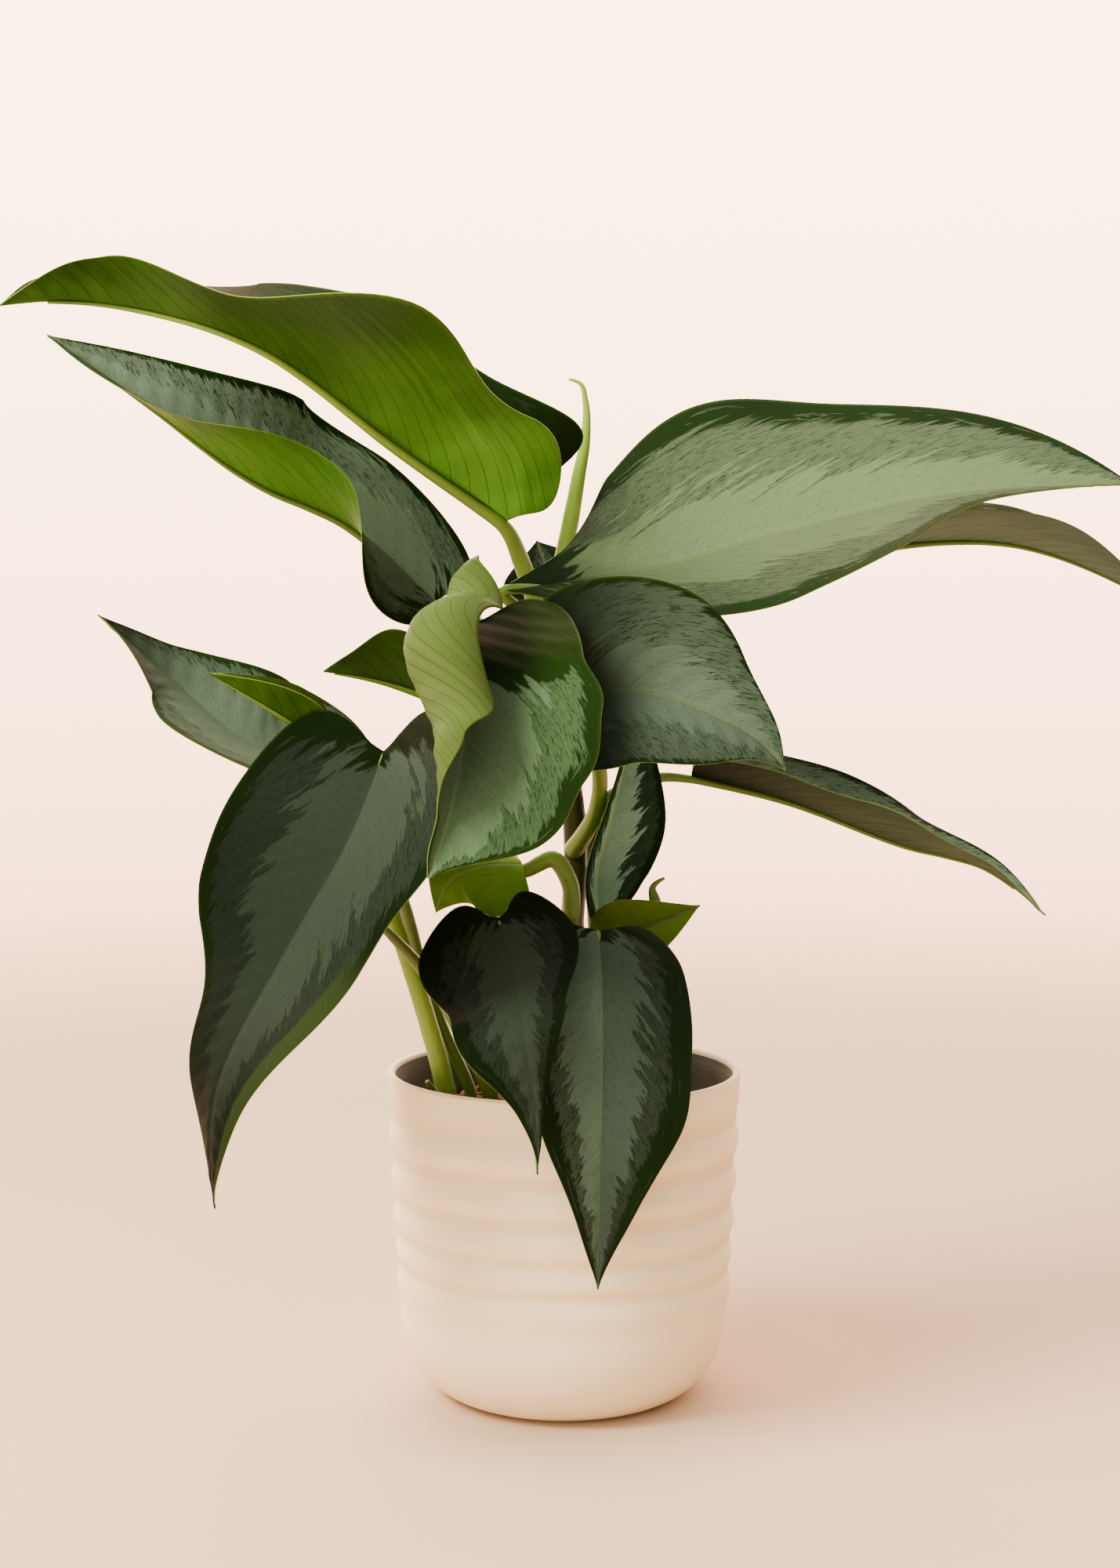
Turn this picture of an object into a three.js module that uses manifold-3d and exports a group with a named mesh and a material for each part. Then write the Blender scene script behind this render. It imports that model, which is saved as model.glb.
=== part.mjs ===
// A leafy house plant with silver marked leaves in a round ceramic pot, in millimetres, +Z up.
// The origin is on the table under the middle of the pot; the side seen first looks along +Y.
import * as THREE from "three";
import { mergeVertices } from "three/addons/utils/BufferGeometryUtils.js";
import Module from "manifold-3d";

const wasm = await Module();
wasm.setup();

// Driving dimensions.
const POT_HEIGHT = 137.5;
const POT_RIM_RADIUS = 75;
const POT_TAPER = 0.052; // radius lost per mm below the rim
const POT_FOOT_RADIUS = 43;
const POT_CORNER_HEIGHT = 38;
const POT_WALL = 3.6;
const POT_FLOOR = 6;
const POT_RIPPLE = 0.55; // half of the ripple's depth
const POT_RIDGES = [110, 92, 75, 61, 48.5]; // heights of the soft ridges
const POT_GROOVES = [119, 101, 83.5, 67.5, 54.5];
const POT_SEGMENTS = 36;
const SMOOTHING = 0.05; // faces flatter than this are merged
const SOIL_TOP = 117;
const SOIL_LUMP = 2.2;
const BLADE_THICKNESS = 0.8;
const GAP = 0.3; // clearance between touching pieces
const ROWS = 11;
const COLUMNS = 3; // columns in one half of a blade

// Each stem is a smooth tube through its points, with a radius at each point.
const STEMS = {
  cane_main: {
    points: [
      [-3, 10, 92], [-3, 10, 125], [3, 7, 191], [5, 7, 231], [1, 8, 271], [-7, 8, 308],
      [-7, 8, 318],
    ],
    radii: [5.4, 5.4, 5, 5, 4.6, 4.2, 3.6],
  },
  cane_left: {
    points: [
      [-47, -25, 92], [-49, -25, 132], [-57, -27, 164], [-64, -28, 187], [-71, -28, 209],
      [-76, -26, 240], [-77, -24, 262],
    ],
    radii: [4.3, 4.3, 3.9, 3.7, 3.5, 3.3, 3],
  },
  cane_rear: {
    points: [[17, 31, 92], [17, 30, 121], [15, 25, 195], [14, 22, 227], [17, 19, 254]],
    radii: [4.2, 4.2, 4.6, 5, 3.4],
  },
  young_shoot: {
    points: [
      [-29, -37, 92], [-30, -38, 132], [-41, -42, 157], [-54, -46, 182], [-69, -50, 200],
      [-77, -52, 208],
    ],
    radii: [3, 3, 2.8, 2.8, 2, 1],
  },
  base_bud: {
    points: [[-53, -35, 100], [-53, -35, 125], [-54, -36, 133], [-56, -38, 139]],
    radii: [2.8, 2.8, 2.8, 1],
  },
};

// midrib: points from the leaf's base to its tip. face: where the upper side looks, base to tip.
// fold and bend: [left, right] angles of the half blades, in degrees, each a list from base to tip.
// width: across the widest place. lobe: how far the heart shaped base reaches back, as a share of length.
// shape: the outline's exponents at base and tip. stalk: points from the cane to the base.
// ripple: [share, count, phase] of the waves in the outline. radius: of the stalk.
// edge: [left, right] widths of the half blades as shares, each a list from base to tip.
// wave: [height, count, phase] of the margin's rise and fall.
// uneven: how much wider the right half is. sweep: how far the middle of each row lags behind its ends.
const LEAVES = {
  leaf_top_left: {
    midrib: [[-23, -21, 368], [-61, -41, 393], [-127, -63, 437], [-185, -69, 450], [-211, -101, 444]],
    width: 122,
    face: [[0.12, -0.44, 0.76], [0.02, 0.06, 1]],
    fold: [[68, 34, 61], [75, 20, 33]],
    bend: [[0], [0]],
    lobe: 0.09,
    shape: [0.41, 1.04],
    edge: [[0.35, 1.02, 1.45, 0.63, 0.75, 1.25], [1, 0.82, 1.11, 1.37, 0.94, 1]],
    ripple: [0.1, 2.4, 0.15],
    wave: [2.5, 2.6, 0.1],
    stalk: [[-8, 7, 308], [-12, 4, 334], [-18, -6, 352]],
    radius: 3.7,
    sweep: 0.3,
  },
  leaf_second_left: {
    midrib: [[-54, -8, 335], [-91, -10, 368], [-125, -17, 383], [-174, -24, 418], [-210, -26, 443]],
    width: 99,
    face: [[-0.11, -0.25, 1], [-0.28, -0.47, 0.73]],
    fold: [[-3, 51, 27], [16, 37, 24]],
    bend: [[0], [0]],
    lobe: 0.07,
    shape: [0.53, 1.19],
    edge: [[0.9, 1.08, 0.84, 1.04, 1, 1], [1, 1, 1, 1, 1, 1]],
    ripple: [0.04, 2, 0.2],
    wave: [1.5, 2, 0.4],
    stalk: [[-7, 8, 286], [-26, 1, 318], [-40, -3, 328]],
    radius: 2.6,
  },
  leaf_big_right: {
    midrib: [[-25, -27, 340], [37, -11, 349], [91, 2, 364], [159, 4, 380], [236, -5, 384]],
    width: 115,
    uneven: -0.2,
    face: [[0, -0.8, 0.71], [0, -0.66, 0.75]],
    fold: [[4], [4, 31]],
    bend: [[3], [0]],
    lobe: -0.06,
    shape: [0.76, 0.91],
    edge: [[0.61, 1.07, 1.15, 1, 1.08, 1.05], [1, 0.99, 1.08, 1.14, 0.54, 1.09]],
    ripple: [0.03, 2, 0.2],
    wave: [1.5, 2.2, 0.1],
    stalk: [[-7, 8, 296], [-9, -4, 316], [-18, -18, 331]],
    radius: 2.8,
    sweep: 0.15,
  },
  leaf_far_right: {
    midrib: [[110, 45, 354], [160, 55, 363], [202, 62, 362], [248, 66, 346], [286, 64, 322]],
    width: 79,
    face: [[0, 0.13, 0.97], [0.17, -0.1, 0.93]],
    fold: [[30], [16]],
    bend: [[0], [0]],
    lobe: 0.08,
    shape: [0.52, 1.08],
    ripple: [0.04, 2, 0.2],
    wave: [1.5, 2, 0],
    stalk: [[-7, 8, 282], [2, 18, 302], [24, 30, 326], [62, 38, 343]],
    radius: 2.4,
  },
  leaf_low_right: {
    midrib: [[55, 21, 261], [95, 18, 251], [145, 8, 232], [182, 6, 221], [204, -2, 203]],
    width: 62,
    face: [[0, 0, 1], [0.3, 0, 1]],
    fold: [[38, 36, 28], [22, 28, 3]],
    bend: [[0], [0]],
    lobe: 0.04,
    shape: [0.5, 1.12],
    edge: [[1, 0.95, 0.95, 1.03, 0.82, 1.08], [1, 1.08, 0.78, 1.15, 0.96, 1]],
    ripple: [0.05, 2.2, 0.1],
    wave: [1.2, 2.4, 0.2],
    stalk: [[17, 19, 250], [27, 18, 256], [42, 20, 260]],
    radius: 2.2,
  },
  leaf_centre_right: {
    midrib: [[3, -58, 294], [33, -63, 298], [58, -66, 290], [77, -68, 279], [87, -70, 268]],
    width: 95,
    face: [[0.1, -0.9, 0.4], [0.3, -0.9, 0.6]],
    fold: [[24, -6], [38, 10]],
    bend: [[0], [-8]],
    lobe: 0.15,
    shape: [0.45, 1.23],
    ripple: [0.02, 2, 0.2],
    wave: [1, 2, 0.3],
    stalk: [[4, 4, 230], [13, -16, 248], [14, -36, 268], [7, -53, 285]],
    radius: 3.2,
  },
  leaf_crown_front: {
    midrib: [[-38, -65, 325], [-38, -99, 303], [-38, -119, 276], [-42, -135, 255], [-49, -146, 234]],
    width: 120,
    uneven: 0.1,
    face: [[0.1, -0.6, 0.7], [0.1, -1, 0.2]],
    fold: [[8, 12, -5], [19, -18, 11, 12]],
    bend: [[19], [150, 240, 226, 230, 154, 90, 29]],
    lobe: 0.18,
    shape: [0.55, 0.95],
    edge: [[0.76, 0.88, 0.88, 1.03, 1.17, 1.46, 0.79], [0.85, 0.72, 1.1, 0.91, 0.72, 0.3, 0.37]],
    ripple: [0.02, 2, 0.2],
    wave: [0.6, 2, 0.3],
    stalk: [[-1, 7, 271], [-13, -8, 293], [-28, -38, 316], [-36, -60, 325]],
    radius: 2.8,
    columns: 6,
    sweep: 0.2,
  },
  leaf_front_left: {
    midrib: [[-72, -53, 275], [-84, -75, 242], [-106, -94, 202], [-132, -111, 147], [-134, -101, 102]],
    width: 111,
    face: [[-0.3, -0.82, 0.47], [-0.44, -0.77, 0.12]],
    fold: [[24, 21], [6, -32]],
    bend: [[0], [0]],
    lobe: 0.15,
    shape: [0.67, 1.41],
    edge: [[0.55, 1.29, 0.9, 1.04, 0.9, 1], [1.11, 1.08, 1.06, 0.77, 1, 1]],
    ripple: [0.02, 2, 0.2],
    wave: [1.2, 2.5, 0.5],
    stalk: [
      [-38, -17, 92], [-39, -18, 130], [-49, -20, 154], [-57, -23, 176], [-63, -36, 204],
      [-68, -46, 226], [-70, -50, 250],
    ],
    radius: 2.5,
  },
  leaf_mid_left: {
    midrib: [[-79, 23, 260], [-130, 4, 274], [-169, 12, 304], [-196, 0, 330]],
    width: 90,
    face: [[0.26, -0.46, 0.82], [0.26, -0.62, 0.84]],
    fold: [[21, 19], [11, 16]],
    bend: [[0], [0]],
    lobe: 0.02,
    shape: [0.51, 1.3],
    edge: [[1, 1.02, 0.85, 1.12, 1.13, 0.95], [0.98, 1.09, 0.89, 1.08, 0.83, 1]],
    ripple: [0.05, 2.3, 0.3],
    wave: [1.2, 2, 0.2],
    stalk: [[-77, -26, 248], [-75, -3, 256]],
    radius: 2.2,
  },
  leaf_young_left: {
    midrib: [[-99, -23, 278], [-122, -31, 293], [-144, -35, 306]],
    width: 28,
    face: [[0.2, -0.3, 1]],
    fold: [[70], [65]],
    bend: [[0], [0]],
    lobe: 0.02,
    shape: [0.5, 1.15],
    ripple: [0, 2, 0.2],
    wave: [0, 2, 0],
    stalk: [[-77, -27, 246], [-86, -41, 263]],
    radius: 1.8,
  },
  leaf_rear_left: {
    midrib: [[-59, 22, 296], [-79, 20, 302], [-103, 16, 306]],
    width: 56,
    face: [[-0.2, 0.1, 1]],
    fold: [[50], [40]],
    bend: [[0], [0]],
    lobe: 0.04,
    shape: [0.5, 1.15],
    ripple: [0.03, 2, 0.2],
    wave: [1, 2, 0],
    stalk: [[0, 9, 262], [-30, 20, 287]],
    radius: 2,
  },
  leaf_rear: {
    midrib: [[-3, 44, 334], [-7, 48, 347], [-12, 52, 363]],
    width: 46,
    face: [[0.2, -1, 0.2]],
    fold: [[10], [10]],
    bend: [[0], [0]],
    lobe: 0.1,
    shape: [0.5, 1.15],
    ripple: [0.02, 2, 0.2],
    wave: [0.8, 2, 0],
    stalk: [[-7, 8, 292], [-5, 22, 310], [-4, 34, 324]],
    radius: 2,
  },
  leaf_upright: {
    midrib: [[15, -2, 202], [14, -4, 217], [20, -5, 243], [26, 0, 267], [34, 8, 293]],
    width: 55,
    face: [[0.5, -0.5, 0], [0.5, -0.6, -0.1]],
    fold: [[33, 42], [10, 23]],
    bend: [[0], [0]],
    lobe: 0.03,
    shape: [0.52, 1.07],
    ripple: [0.02, 2, 0.2],
    wave: [0.6, 2, 0],
    stalk: [[12, 8, 92], [12, 8, 124], [11, 4, 161], [13, 0, 192]],
    radius: 2,
  },
  leaf_small_right: {
    midrib: [[12, -19, 194], [33, -23, 200], [56, -27, 210]],
    width: 30,
    face: [[0, -0.8, 0.6]],
    fold: [[50], [-10]],
    bend: [[0], [0]],
    lobe: 0.02,
    shape: [0.5, 1.15],
    ripple: [0, 2, 0.2],
    wave: [0, 2, 0],
    stalk: [[28, 4, 92], [28, 4, 120], [18, -9, 160], [10, -17, 184]],
    radius: 1.6,
  },
  leaf_front_centre: {
    midrib: [[-26, -68, 210], [-19, -88, 186], [-16, -103, 173], [-11, -111, 141], [-10, -117, 119]],
    width: 56,
    uneven: 0.09,
    face: [[-0.11, -0.64, 0.69], [0.2, -0.9, 0.15]],
    fold: [[-14, -18], [-12, 17]],
    bend: [[0], [0]],
    lobe: 0.17,
    shape: [0.57, 1.67],
    edge: [[0.69, 1.21, 0.8, 0.79, 0.66, 0.98], [0.6, 1.22, 1, 1.28, 1.07, 0.85]],
    ripple: [0.02, 2, 0.2],
    wave: [0.8, 2, 0.2],
    stalk: [[-20, -30, 92], [-21, -31, 132], [-20, -50, 176], [-22, -60, 200]],
    radius: 2.2,
  },
  leaf_front_right: {
    midrib: [[14, -44, 202], [15, -68, 183], [15, -83, 154], [14, -92, 119], [13, -93, 68]],
    width: 70,
    uneven: -0.03,
    face: [[0.21, -0.7, 0.71], [0.13, -1, 0.1]],
    fold: [[7, 10], [-5, 3]],
    bend: [[0], [0]],
    lobe: 0.08,
    shape: [0.53, 1.24],
    edge: [[0.8, 0.97, 1, 1.15, 1.09, 0.96], [1, 1, 1, 0.95, 0.86, 1]],
    ripple: [0.02, 2, 0.2],
    wave: [1, 2.2, 0.2],
    stalk: [[8, -20, 92], [8, -20, 130], [11, -36, 167], [13, -42, 191]],
    radius: 2.2,
  },
  leaf_inner_arched: {
    midrib: [[-17, -38, 228], [-32, -44, 228], [-45, -46, 223], [-52, -44, 209]],
    width: 52,
    face: [[0, -0.5, 1], [-0.5, -0.8, 0.4]],
    fold: [[-25], [0]],
    bend: [[0], [0]],
    lobe: 0.05,
    shape: [0.5, 1.15],
    ripple: [0.02, 2, 0.2],
    wave: [0.6, 2, 0],
    stalk: [
      [-6, -22, 92], [-6, -22, 131], [-2, -30, 177], [3, -35, 208], [2, -37, 221], [-4, -38, 230],
    ],
    radius: 3.6,
  },
  leaf_spear: {
    stalk: [
      [-7, 9, 322], [-4, 12, 340], [0, 12, 356], [3, 10, 370], [6, 7, 387], [9, 4, 404],
      [9, 2, 419], [7, 1, 426], [2, 1, 428],
    ],
    radii: [3.4, 3.6, 3.6, 3.6, 3, 2.2, 1.3, 0.9, 0.5],
  },
  leaf_rolled_right: {
    stalk: [
      [36, -8, 92], [36, -8, 120], [33, -9, 160], [34, -10, 188], [36, -12, 197], [38, -14, 210],
      [37, -14, 216], [42, -14, 220],
    ],
    radii: [1.8, 1.8, 1.8, 2.4, 3, 2.6, 1.4, 0.6],
  },
};

const minus = (a, b) => a.map((v, i) => v - b[i]);
const plus = (a, b, k = 1) => a.map((v, i) => v + k * b[i]);
const dot = (a, b) => a[0] * b[0] + a[1] * b[1] + a[2] * b[2];
const cross = (a, b) => [
  a[1] * b[2] - a[2] * b[1],
  a[2] * b[0] - a[0] * b[2],
  a[0] * b[1] - a[1] * b[0],
];
const unit = (a) => a.map((v) => v / Math.max(Math.hypot(...a), 1e-9));
const radians = (degrees) => (degrees * Math.PI) / 180;

// Point on the smooth curve through the points; t is the share of the chord length, 0 to 1.
function curvePoint(points, t) {
  const last = points.length - 1;
  const at = [0];
  for (let i = 1; i <= last; i++) {
    at.push(at[i - 1] + Math.hypot(...minus(points[i], points[i - 1])));
  }
  const knots = at.map((v) => v / at[last]);
  const slope = (i) => minus(points[i + 1], points[i]).map((v) => v / (knots[i + 1] - knots[i]));
  const inner = (i) => {
    const weight = (knots[i + 1] - knots[i]) / (knots[i + 1] - knots[i - 1]);
    return slope(i - 1).map((v, k) => v * weight + slope(i)[k] * (1 - weight));
  };
  const tangentAt = (i) => {
    if (last === 1) return slope(0);
    if (i === 0) return slope(0).map((v, k) => 1.5 * v - 0.5 * inner(1)[k]);
    if (i === last) return slope(last - 1).map((v, k) => 1.5 * v - 0.5 * inner(last - 1)[k]);
    return inner(i);
  };
  if (t <= 0) return plus(points[0], tangentAt(0), t);
  if (t >= 1) return plus(points[last], tangentAt(last), t - 1);
  let k = 0;
  while (k < last - 1 && t >= knots[k + 1]) k++;
  const h = knots[k + 1] - knots[k];
  const x = (t - knots[k]) / h;
  const m0 = tangentAt(k);
  const m1 = tangentAt(k + 1);
  return points[k].map(
    (p, i) =>
      (2 * x ** 3 - 3 * x ** 2 + 1) * p +
      (x ** 3 - 2 * x ** 2 + x) * h * m0[i] +
      (-2 * x ** 3 + 3 * x ** 2) * points[k + 1][i] +
      (x ** 3 - x ** 2) * h * m1[i],
  );
}

function curveDirection(points, t) {
  return unit(minus(curvePoint(points, t + 0.002), curvePoint(points, t - 0.002)));
}

// Value at t of a list spread evenly from 0 to 1, eased between its entries.
function spread(list, t) {
  if (list.length === 1) return list[0];
  const x = Math.min(Math.max(t, 0), 1) * (list.length - 1);
  const k = Math.min(Math.floor(x), list.length - 2);
  const f = (x - k) ** 2 * (3 - 2 * (x - k));
  return list[k] * (1 - f) + list[k + 1] * f;
}

function makeSolid(points, triangles) {
  return new wasm.Manifold(
    new wasm.Mesh({
      numProp: 3,
      vertProperties: new Float32Array(points.flat()),
      triVerts: new Uint32Array(triangles.flat()),
    }),
  );
}

// Tube of round section through the points; the radii are spread along it by chord length.
function tube(points, radii, sides, rings, extra = 0) {
  const lengths = [0];
  for (let i = 1; i < points.length; i++) {
    lengths.push(lengths[i - 1] + Math.hypot(...minus(points[i], points[i - 1])));
  }
  const radiusAt = (t) => {
    const s = t * lengths[lengths.length - 1];
    let k = 0;
    while (k < lengths.length - 2 && s > lengths[k + 1]) k++;
    const f = (s - lengths[k]) / (lengths[k + 1] - lengths[k]);
    return radii[k] * (1 - f) + radii[k + 1] * f + extra;
  };
  const vertices = [];
  const triangles = [];
  let side = unit(cross(curveDirection(points, 0), [0.31, -0.9, 0.12]));
  for (let ring = 0; ring <= rings; ring++) {
    const t = ring / rings;
    const along = curveDirection(points, t);
    side = unit(plus(side, along, -dot(side, along)));
    const other = cross(along, side);
    const end = ring === 0 ? -extra : ring === rings ? extra : 0;
    const centre = plus(curvePoint(points, t), along, end);
    for (let i = 0; i < sides; i++) {
      const angle = (2 * Math.PI * i) / sides;
      const across = plus(centre, side, radiusAt(t) * Math.cos(angle));
      vertices.push(plus(across, other, radiusAt(t) * Math.sin(angle)));
    }
  }
  for (let ring = 0; ring < rings; ring++) {
    for (let i = 0; i < sides; i++) {
      const [a, b] = [ring * sides + i, ring * sides + ((i + 1) % sides)];
      triangles.push([a, b, b + sides], [a, b + sides, a + sides]);
    }
  }
  for (let i = 1; i < sides - 1; i++) {
    const top = rings * sides;
    triangles.push([0, i + 1, i], [top, top + i, top + i + 1]);
  }
  return makeSolid(vertices, triangles);
}

// Rows run from margin to margin, each starting a little further along the midrib than it ends.
function leafPoint(leaf, row, across) {
  const [p, q] = leaf.shape;
  const peak = p / (p + q);
  const width = (row / peak) ** p * ((1 - row) / (1 - peak)) ** q;
  const [amount, count, phase] = leaf.ripple;
  const ripple = 1 + amount * Math.sin(2 * Math.PI * (count * row + phase));
  const far = Math.abs(across);
  const edge = row - leaf.lobe * (row / 0.09) * Math.exp(1 - row / 0.09);
  const start = row - (leaf.sweep || 0.3) * row * (1 - row);
  const u = start + (edge - start) * far ** 1.4;
  const along = curveDirection(leaf.midrib, u);
  const look = [0, 1, 2].map((i) => spread(leaf.face.map((f) => f[i]), u));
  const normal = unit(plus(look, along, -dot(look, along)));
  const right = cross(along, normal);
  const side = across < 0 ? 0 : 1;
  const fold = radians(spread(leaf.fold[side], u));
  const bend = radians(spread(leaf.bend[side], u)) || 1e-4;
  const sign = across < 0 ? -1 : 1;
  const share = (1 + sign * (leaf.uneven || 0)) * (leaf.edge ? spread(leaf.edge[side], row) : 1);
  const half = (leaf.width / 2) * width * ripple * share;
  const end = fold + bend * far;
  const out = (half * (Math.sin(end) - Math.sin(fold))) / bend;
  const up = (-half * (Math.cos(end) - Math.cos(fold))) / bend;
  const [height, waves, shift] = leaf.wave;
  const turn = 2 * Math.PI * (waves * row + shift + (across < 0 ? 0.17 : 0));
  const lift = height * far * far * Math.sin(turn) * Math.sqrt(4 * row * (1 - row));
  const beside = plus(curvePoint(leaf.midrib, u), right, sign * (out - lift * Math.sin(end)));
  const place = plus(beside, normal, up + lift * Math.cos(end));
  return { place, normal };
}

function bladeSolid(leaf, extra = 0) {
  const half = leaf.columns || COLUMNS;
  const columns = 2 * half;
  const places = [leafPoint(leaf, 0, 0).place];
  for (let i = 1; i < ROWS; i++) {
    const even = i / ROWS;
    const row = 0.55 * (0.5 - 0.5 * Math.cos(Math.PI * even)) + 0.45 * even;
    for (let j = 0; j <= columns; j++) places.push(leafPoint(leaf, row, j / half - 1).place);
  }
  places.push(leafPoint(leaf, 1, 0).place);
  const last = places.length - 1;
  const at = (i, j) => 1 + (i - 1) * (columns + 1) + j;
  const top = [];
  for (let j = 0; j < columns; j++) {
    top.push([0, at(1, j), at(1, j + 1)]);
    for (let i = 1; i < ROWS - 1; i++) {
      const [a, b, c, d] = [at(i, j), at(i, j + 1), at(i + 1, j + 1), at(i + 1, j)];
      top.push(...(j < half ? [[a, d, b], [b, d, c]] : [[a, d, c], [a, c, b]]));
    }
    top.push([at(ROWS - 1, j), last, at(ROWS - 1, j + 1)]);
  }
  const normals = places.map(() => [0, 0, 0]);
  for (const [a, b, c] of top) {
    const face = cross(minus(places[b], places[a]), minus(places[c], places[a]));
    for (const v of [a, b, c]) normals[v] = plus(normals[v], face);
  }
  const margin = [0];
  for (let i = 1; i < ROWS; i++) margin.push(at(i, 0));
  margin.push(last);
  for (let i = ROWS - 1; i > 0; i--) margin.push(at(i, columns));
  const thick = BLADE_THICKNESS / 2 + extra;
  const count = places.length;
  const vertices = [1, -1].flatMap((s) => places.map((p, i) => plus(p, unit(normals[i]), s * thick)));
  const triangles = top.flatMap(([a, b, c]) => [[a, b, c], [a + count, c + count, b + count]]);
  margin.forEach((a, i) => {
    const b = margin[(i + 1) % margin.length];
    triangles.push([a, a + count, b], [b, a + count, b + count]);
  });
  return makeSolid(vertices, triangles);
}

// Points of the rib under the blade, from the leaf's base to near its tip.
function ribPoints(leaf, share) {
  const points = [];
  for (let i = 0; i <= 5; i++) {
    const u = (share * i) / 5;
    const { place, normal } = leafPoint(leaf, u, 0);
    points.push(plus(place, normal, -0.9));
  }
  return points;
}

function potRadius(z) {
  const wall = POT_RIM_RADIUS - POT_TAPER * (POT_HEIGHT - z);
  if (z >= POT_CORNER_HEIGHT) return wall;
  const top = POT_RIM_RADIUS - POT_TAPER * (POT_HEIGHT - POT_CORNER_HEIGHT);
  const share = (POT_CORNER_HEIGHT - z) / POT_CORNER_HEIGHT;
  return POT_FOOT_RADIUS + (top - POT_FOOT_RADIUS) * Math.sqrt(1 - share ** 2);
}

function potProfile() {
  const outer = [[0, 0], [POT_FOOT_RADIUS, 0]];
  for (const z of [0.8, 3, 7, 13, 20, 28, POT_CORNER_HEIGHT]) outer.push([potRadius(z), z]);
  const ridges = POT_RIDGES.map((z) => [z, POT_RIPPLE]);
  const grooves = POT_GROOVES.map((z) => [z, -POT_RIPPLE]);
  const waves = [...ridges, ...grooves].sort((a, b) => a[0] - b[0]);
  for (const [z, depth] of waves) outer.push([potRadius(z) + depth, z]);
  const rim = POT_HEIGHT;
  const lip = [
    [POT_RIM_RADIUS - 0.2, rim - 2.2],
    [POT_RIM_RADIUS - 0.6, rim - 0.6],
    [POT_RIM_RADIUS - 1.6, rim],
    [POT_RIM_RADIUS - 2.4, rim - 0.5],
    [POT_RIM_RADIUS - 3, rim - 2],
  ];
  const inner = [];
  for (const z of [100, 60, 40, 26, 14]) inner.push([potRadius(z) - POT_WALL - 0.4, z]);
  inner.push([POT_FOOT_RADIUS + 4, POT_FLOOR + 0.6], [0, POT_FLOOR]);
  return [...outer, ...lip, ...inner];
}

// Solid of revolution round the Z axis from a profile of [radius, height] pairs.
function turned(profile, segments, shrink = 0) {
  const points = profile.map(([r, z]) => new THREE.Vector2(Math.max(r - shrink, 0), z));
  const lathe = new THREE.LatheGeometry(points, segments);
  lathe.deleteAttribute("normal");
  lathe.deleteAttribute("uv");
  lathe.rotateX(Math.PI / 2);
  const merged = mergeVertices(lathe, 1e-4);
  const kept = [];
  const index = merged.index.array;
  for (let i = 0; i < index.length; i += 3) {
    const [a, b, c] = [index[i], index[i + 1], index[i + 2]];
    if (a !== b && b !== c && c !== a) kept.push([a, b, c]);
  }
  const flat = [...merged.attributes.position.array];
  const vertices = [];
  for (let i = 0; i < flat.length; i += 3) vertices.push([flat[i], flat[i + 1], flat[i + 2]]);
  const made = makeSolid(vertices, kept);
  if (made.volume() > 0) return made;
  return makeSolid(vertices, kept.map(([a, b, c]) => [a, c, b]));
}

// Soil height at a place: low lumps, a little higher by the stems.
function soilHeight(x, y) {
  const lumps = Math.sin(0.31 * x + 1.2) * Math.cos(0.27 * y) + 0.6 * Math.sin(0.57 * x + 0.49 * y + 2);
  return SOIL_TOP + SOIL_LUMP * lumps * 0.6;
}

function soilSolid() {
  const rings = 5;
  const segments = 28;
  const levels = [POT_FLOOR + GAP + 0.9, 14, 26, 40, 60, 100];
  const radiusAt = (z) => (z < 12 ? POT_FOOT_RADIUS + 3 : potRadius(z) - POT_WALL - 0.4 - GAP - 0.4);
  const vertices = [[0, 0, levels[0]]];
  const triangles = [];
  const ring = (r, z) => {
    for (let i = 0; i < segments; i++) {
      const angle = (2 * Math.PI * i) / segments;
      const [x, y] = [r * Math.cos(angle), r * Math.sin(angle)];
      vertices.push([x, y, z === null ? soilHeight(x, y) : z]);
    }
  };
  for (const z of levels) ring(radiusAt(z) - (z > 90 ? 0.2 : 0), z);
  const reach = potRadius(SOIL_TOP) - POT_WALL - 1.4;
  for (let i = 0; i < rings; i++) ring((reach * (rings - i)) / rings, null);
  vertices.push([0, 0, soilHeight(0, 0)]);
  const count = levels.length + rings;
  for (let i = 0; i < segments; i++) {
    const next = (i + 1) % segments;
    triangles.push([0, 1 + next, 1 + i]);
    for (let k = 0; k < count - 1; k++) {
      const [a, b] = [1 + k * segments + i, 1 + k * segments + next];
      triangles.push([a, b, b + segments], [a, b + segments, a + segments]);
    }
    const edge = 1 + (count - 1) * segments;
    triangles.push([edge + i, edge + next, vertices.length - 1]);
  }
  return makeSolid(vertices, triangles);
}

const LOOKS = {
  ceramic: new THREE.MeshStandardMaterial({ color: 0xe9dfd0, roughness: 0.62, metalness: 0 }),
  soil: new THREE.MeshStandardMaterial({ color: 0x4a3021, roughness: 0.95, metalness: 0 }),
  stem: new THREE.MeshStandardMaterial({ color: 0x8fae52, roughness: 0.5, metalness: 0 }),
  leaf: new THREE.MeshStandardMaterial({ color: 0x5f7f5a, roughness: 0.45, metalness: 0 }),
};
const group = new THREE.Group();

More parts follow.
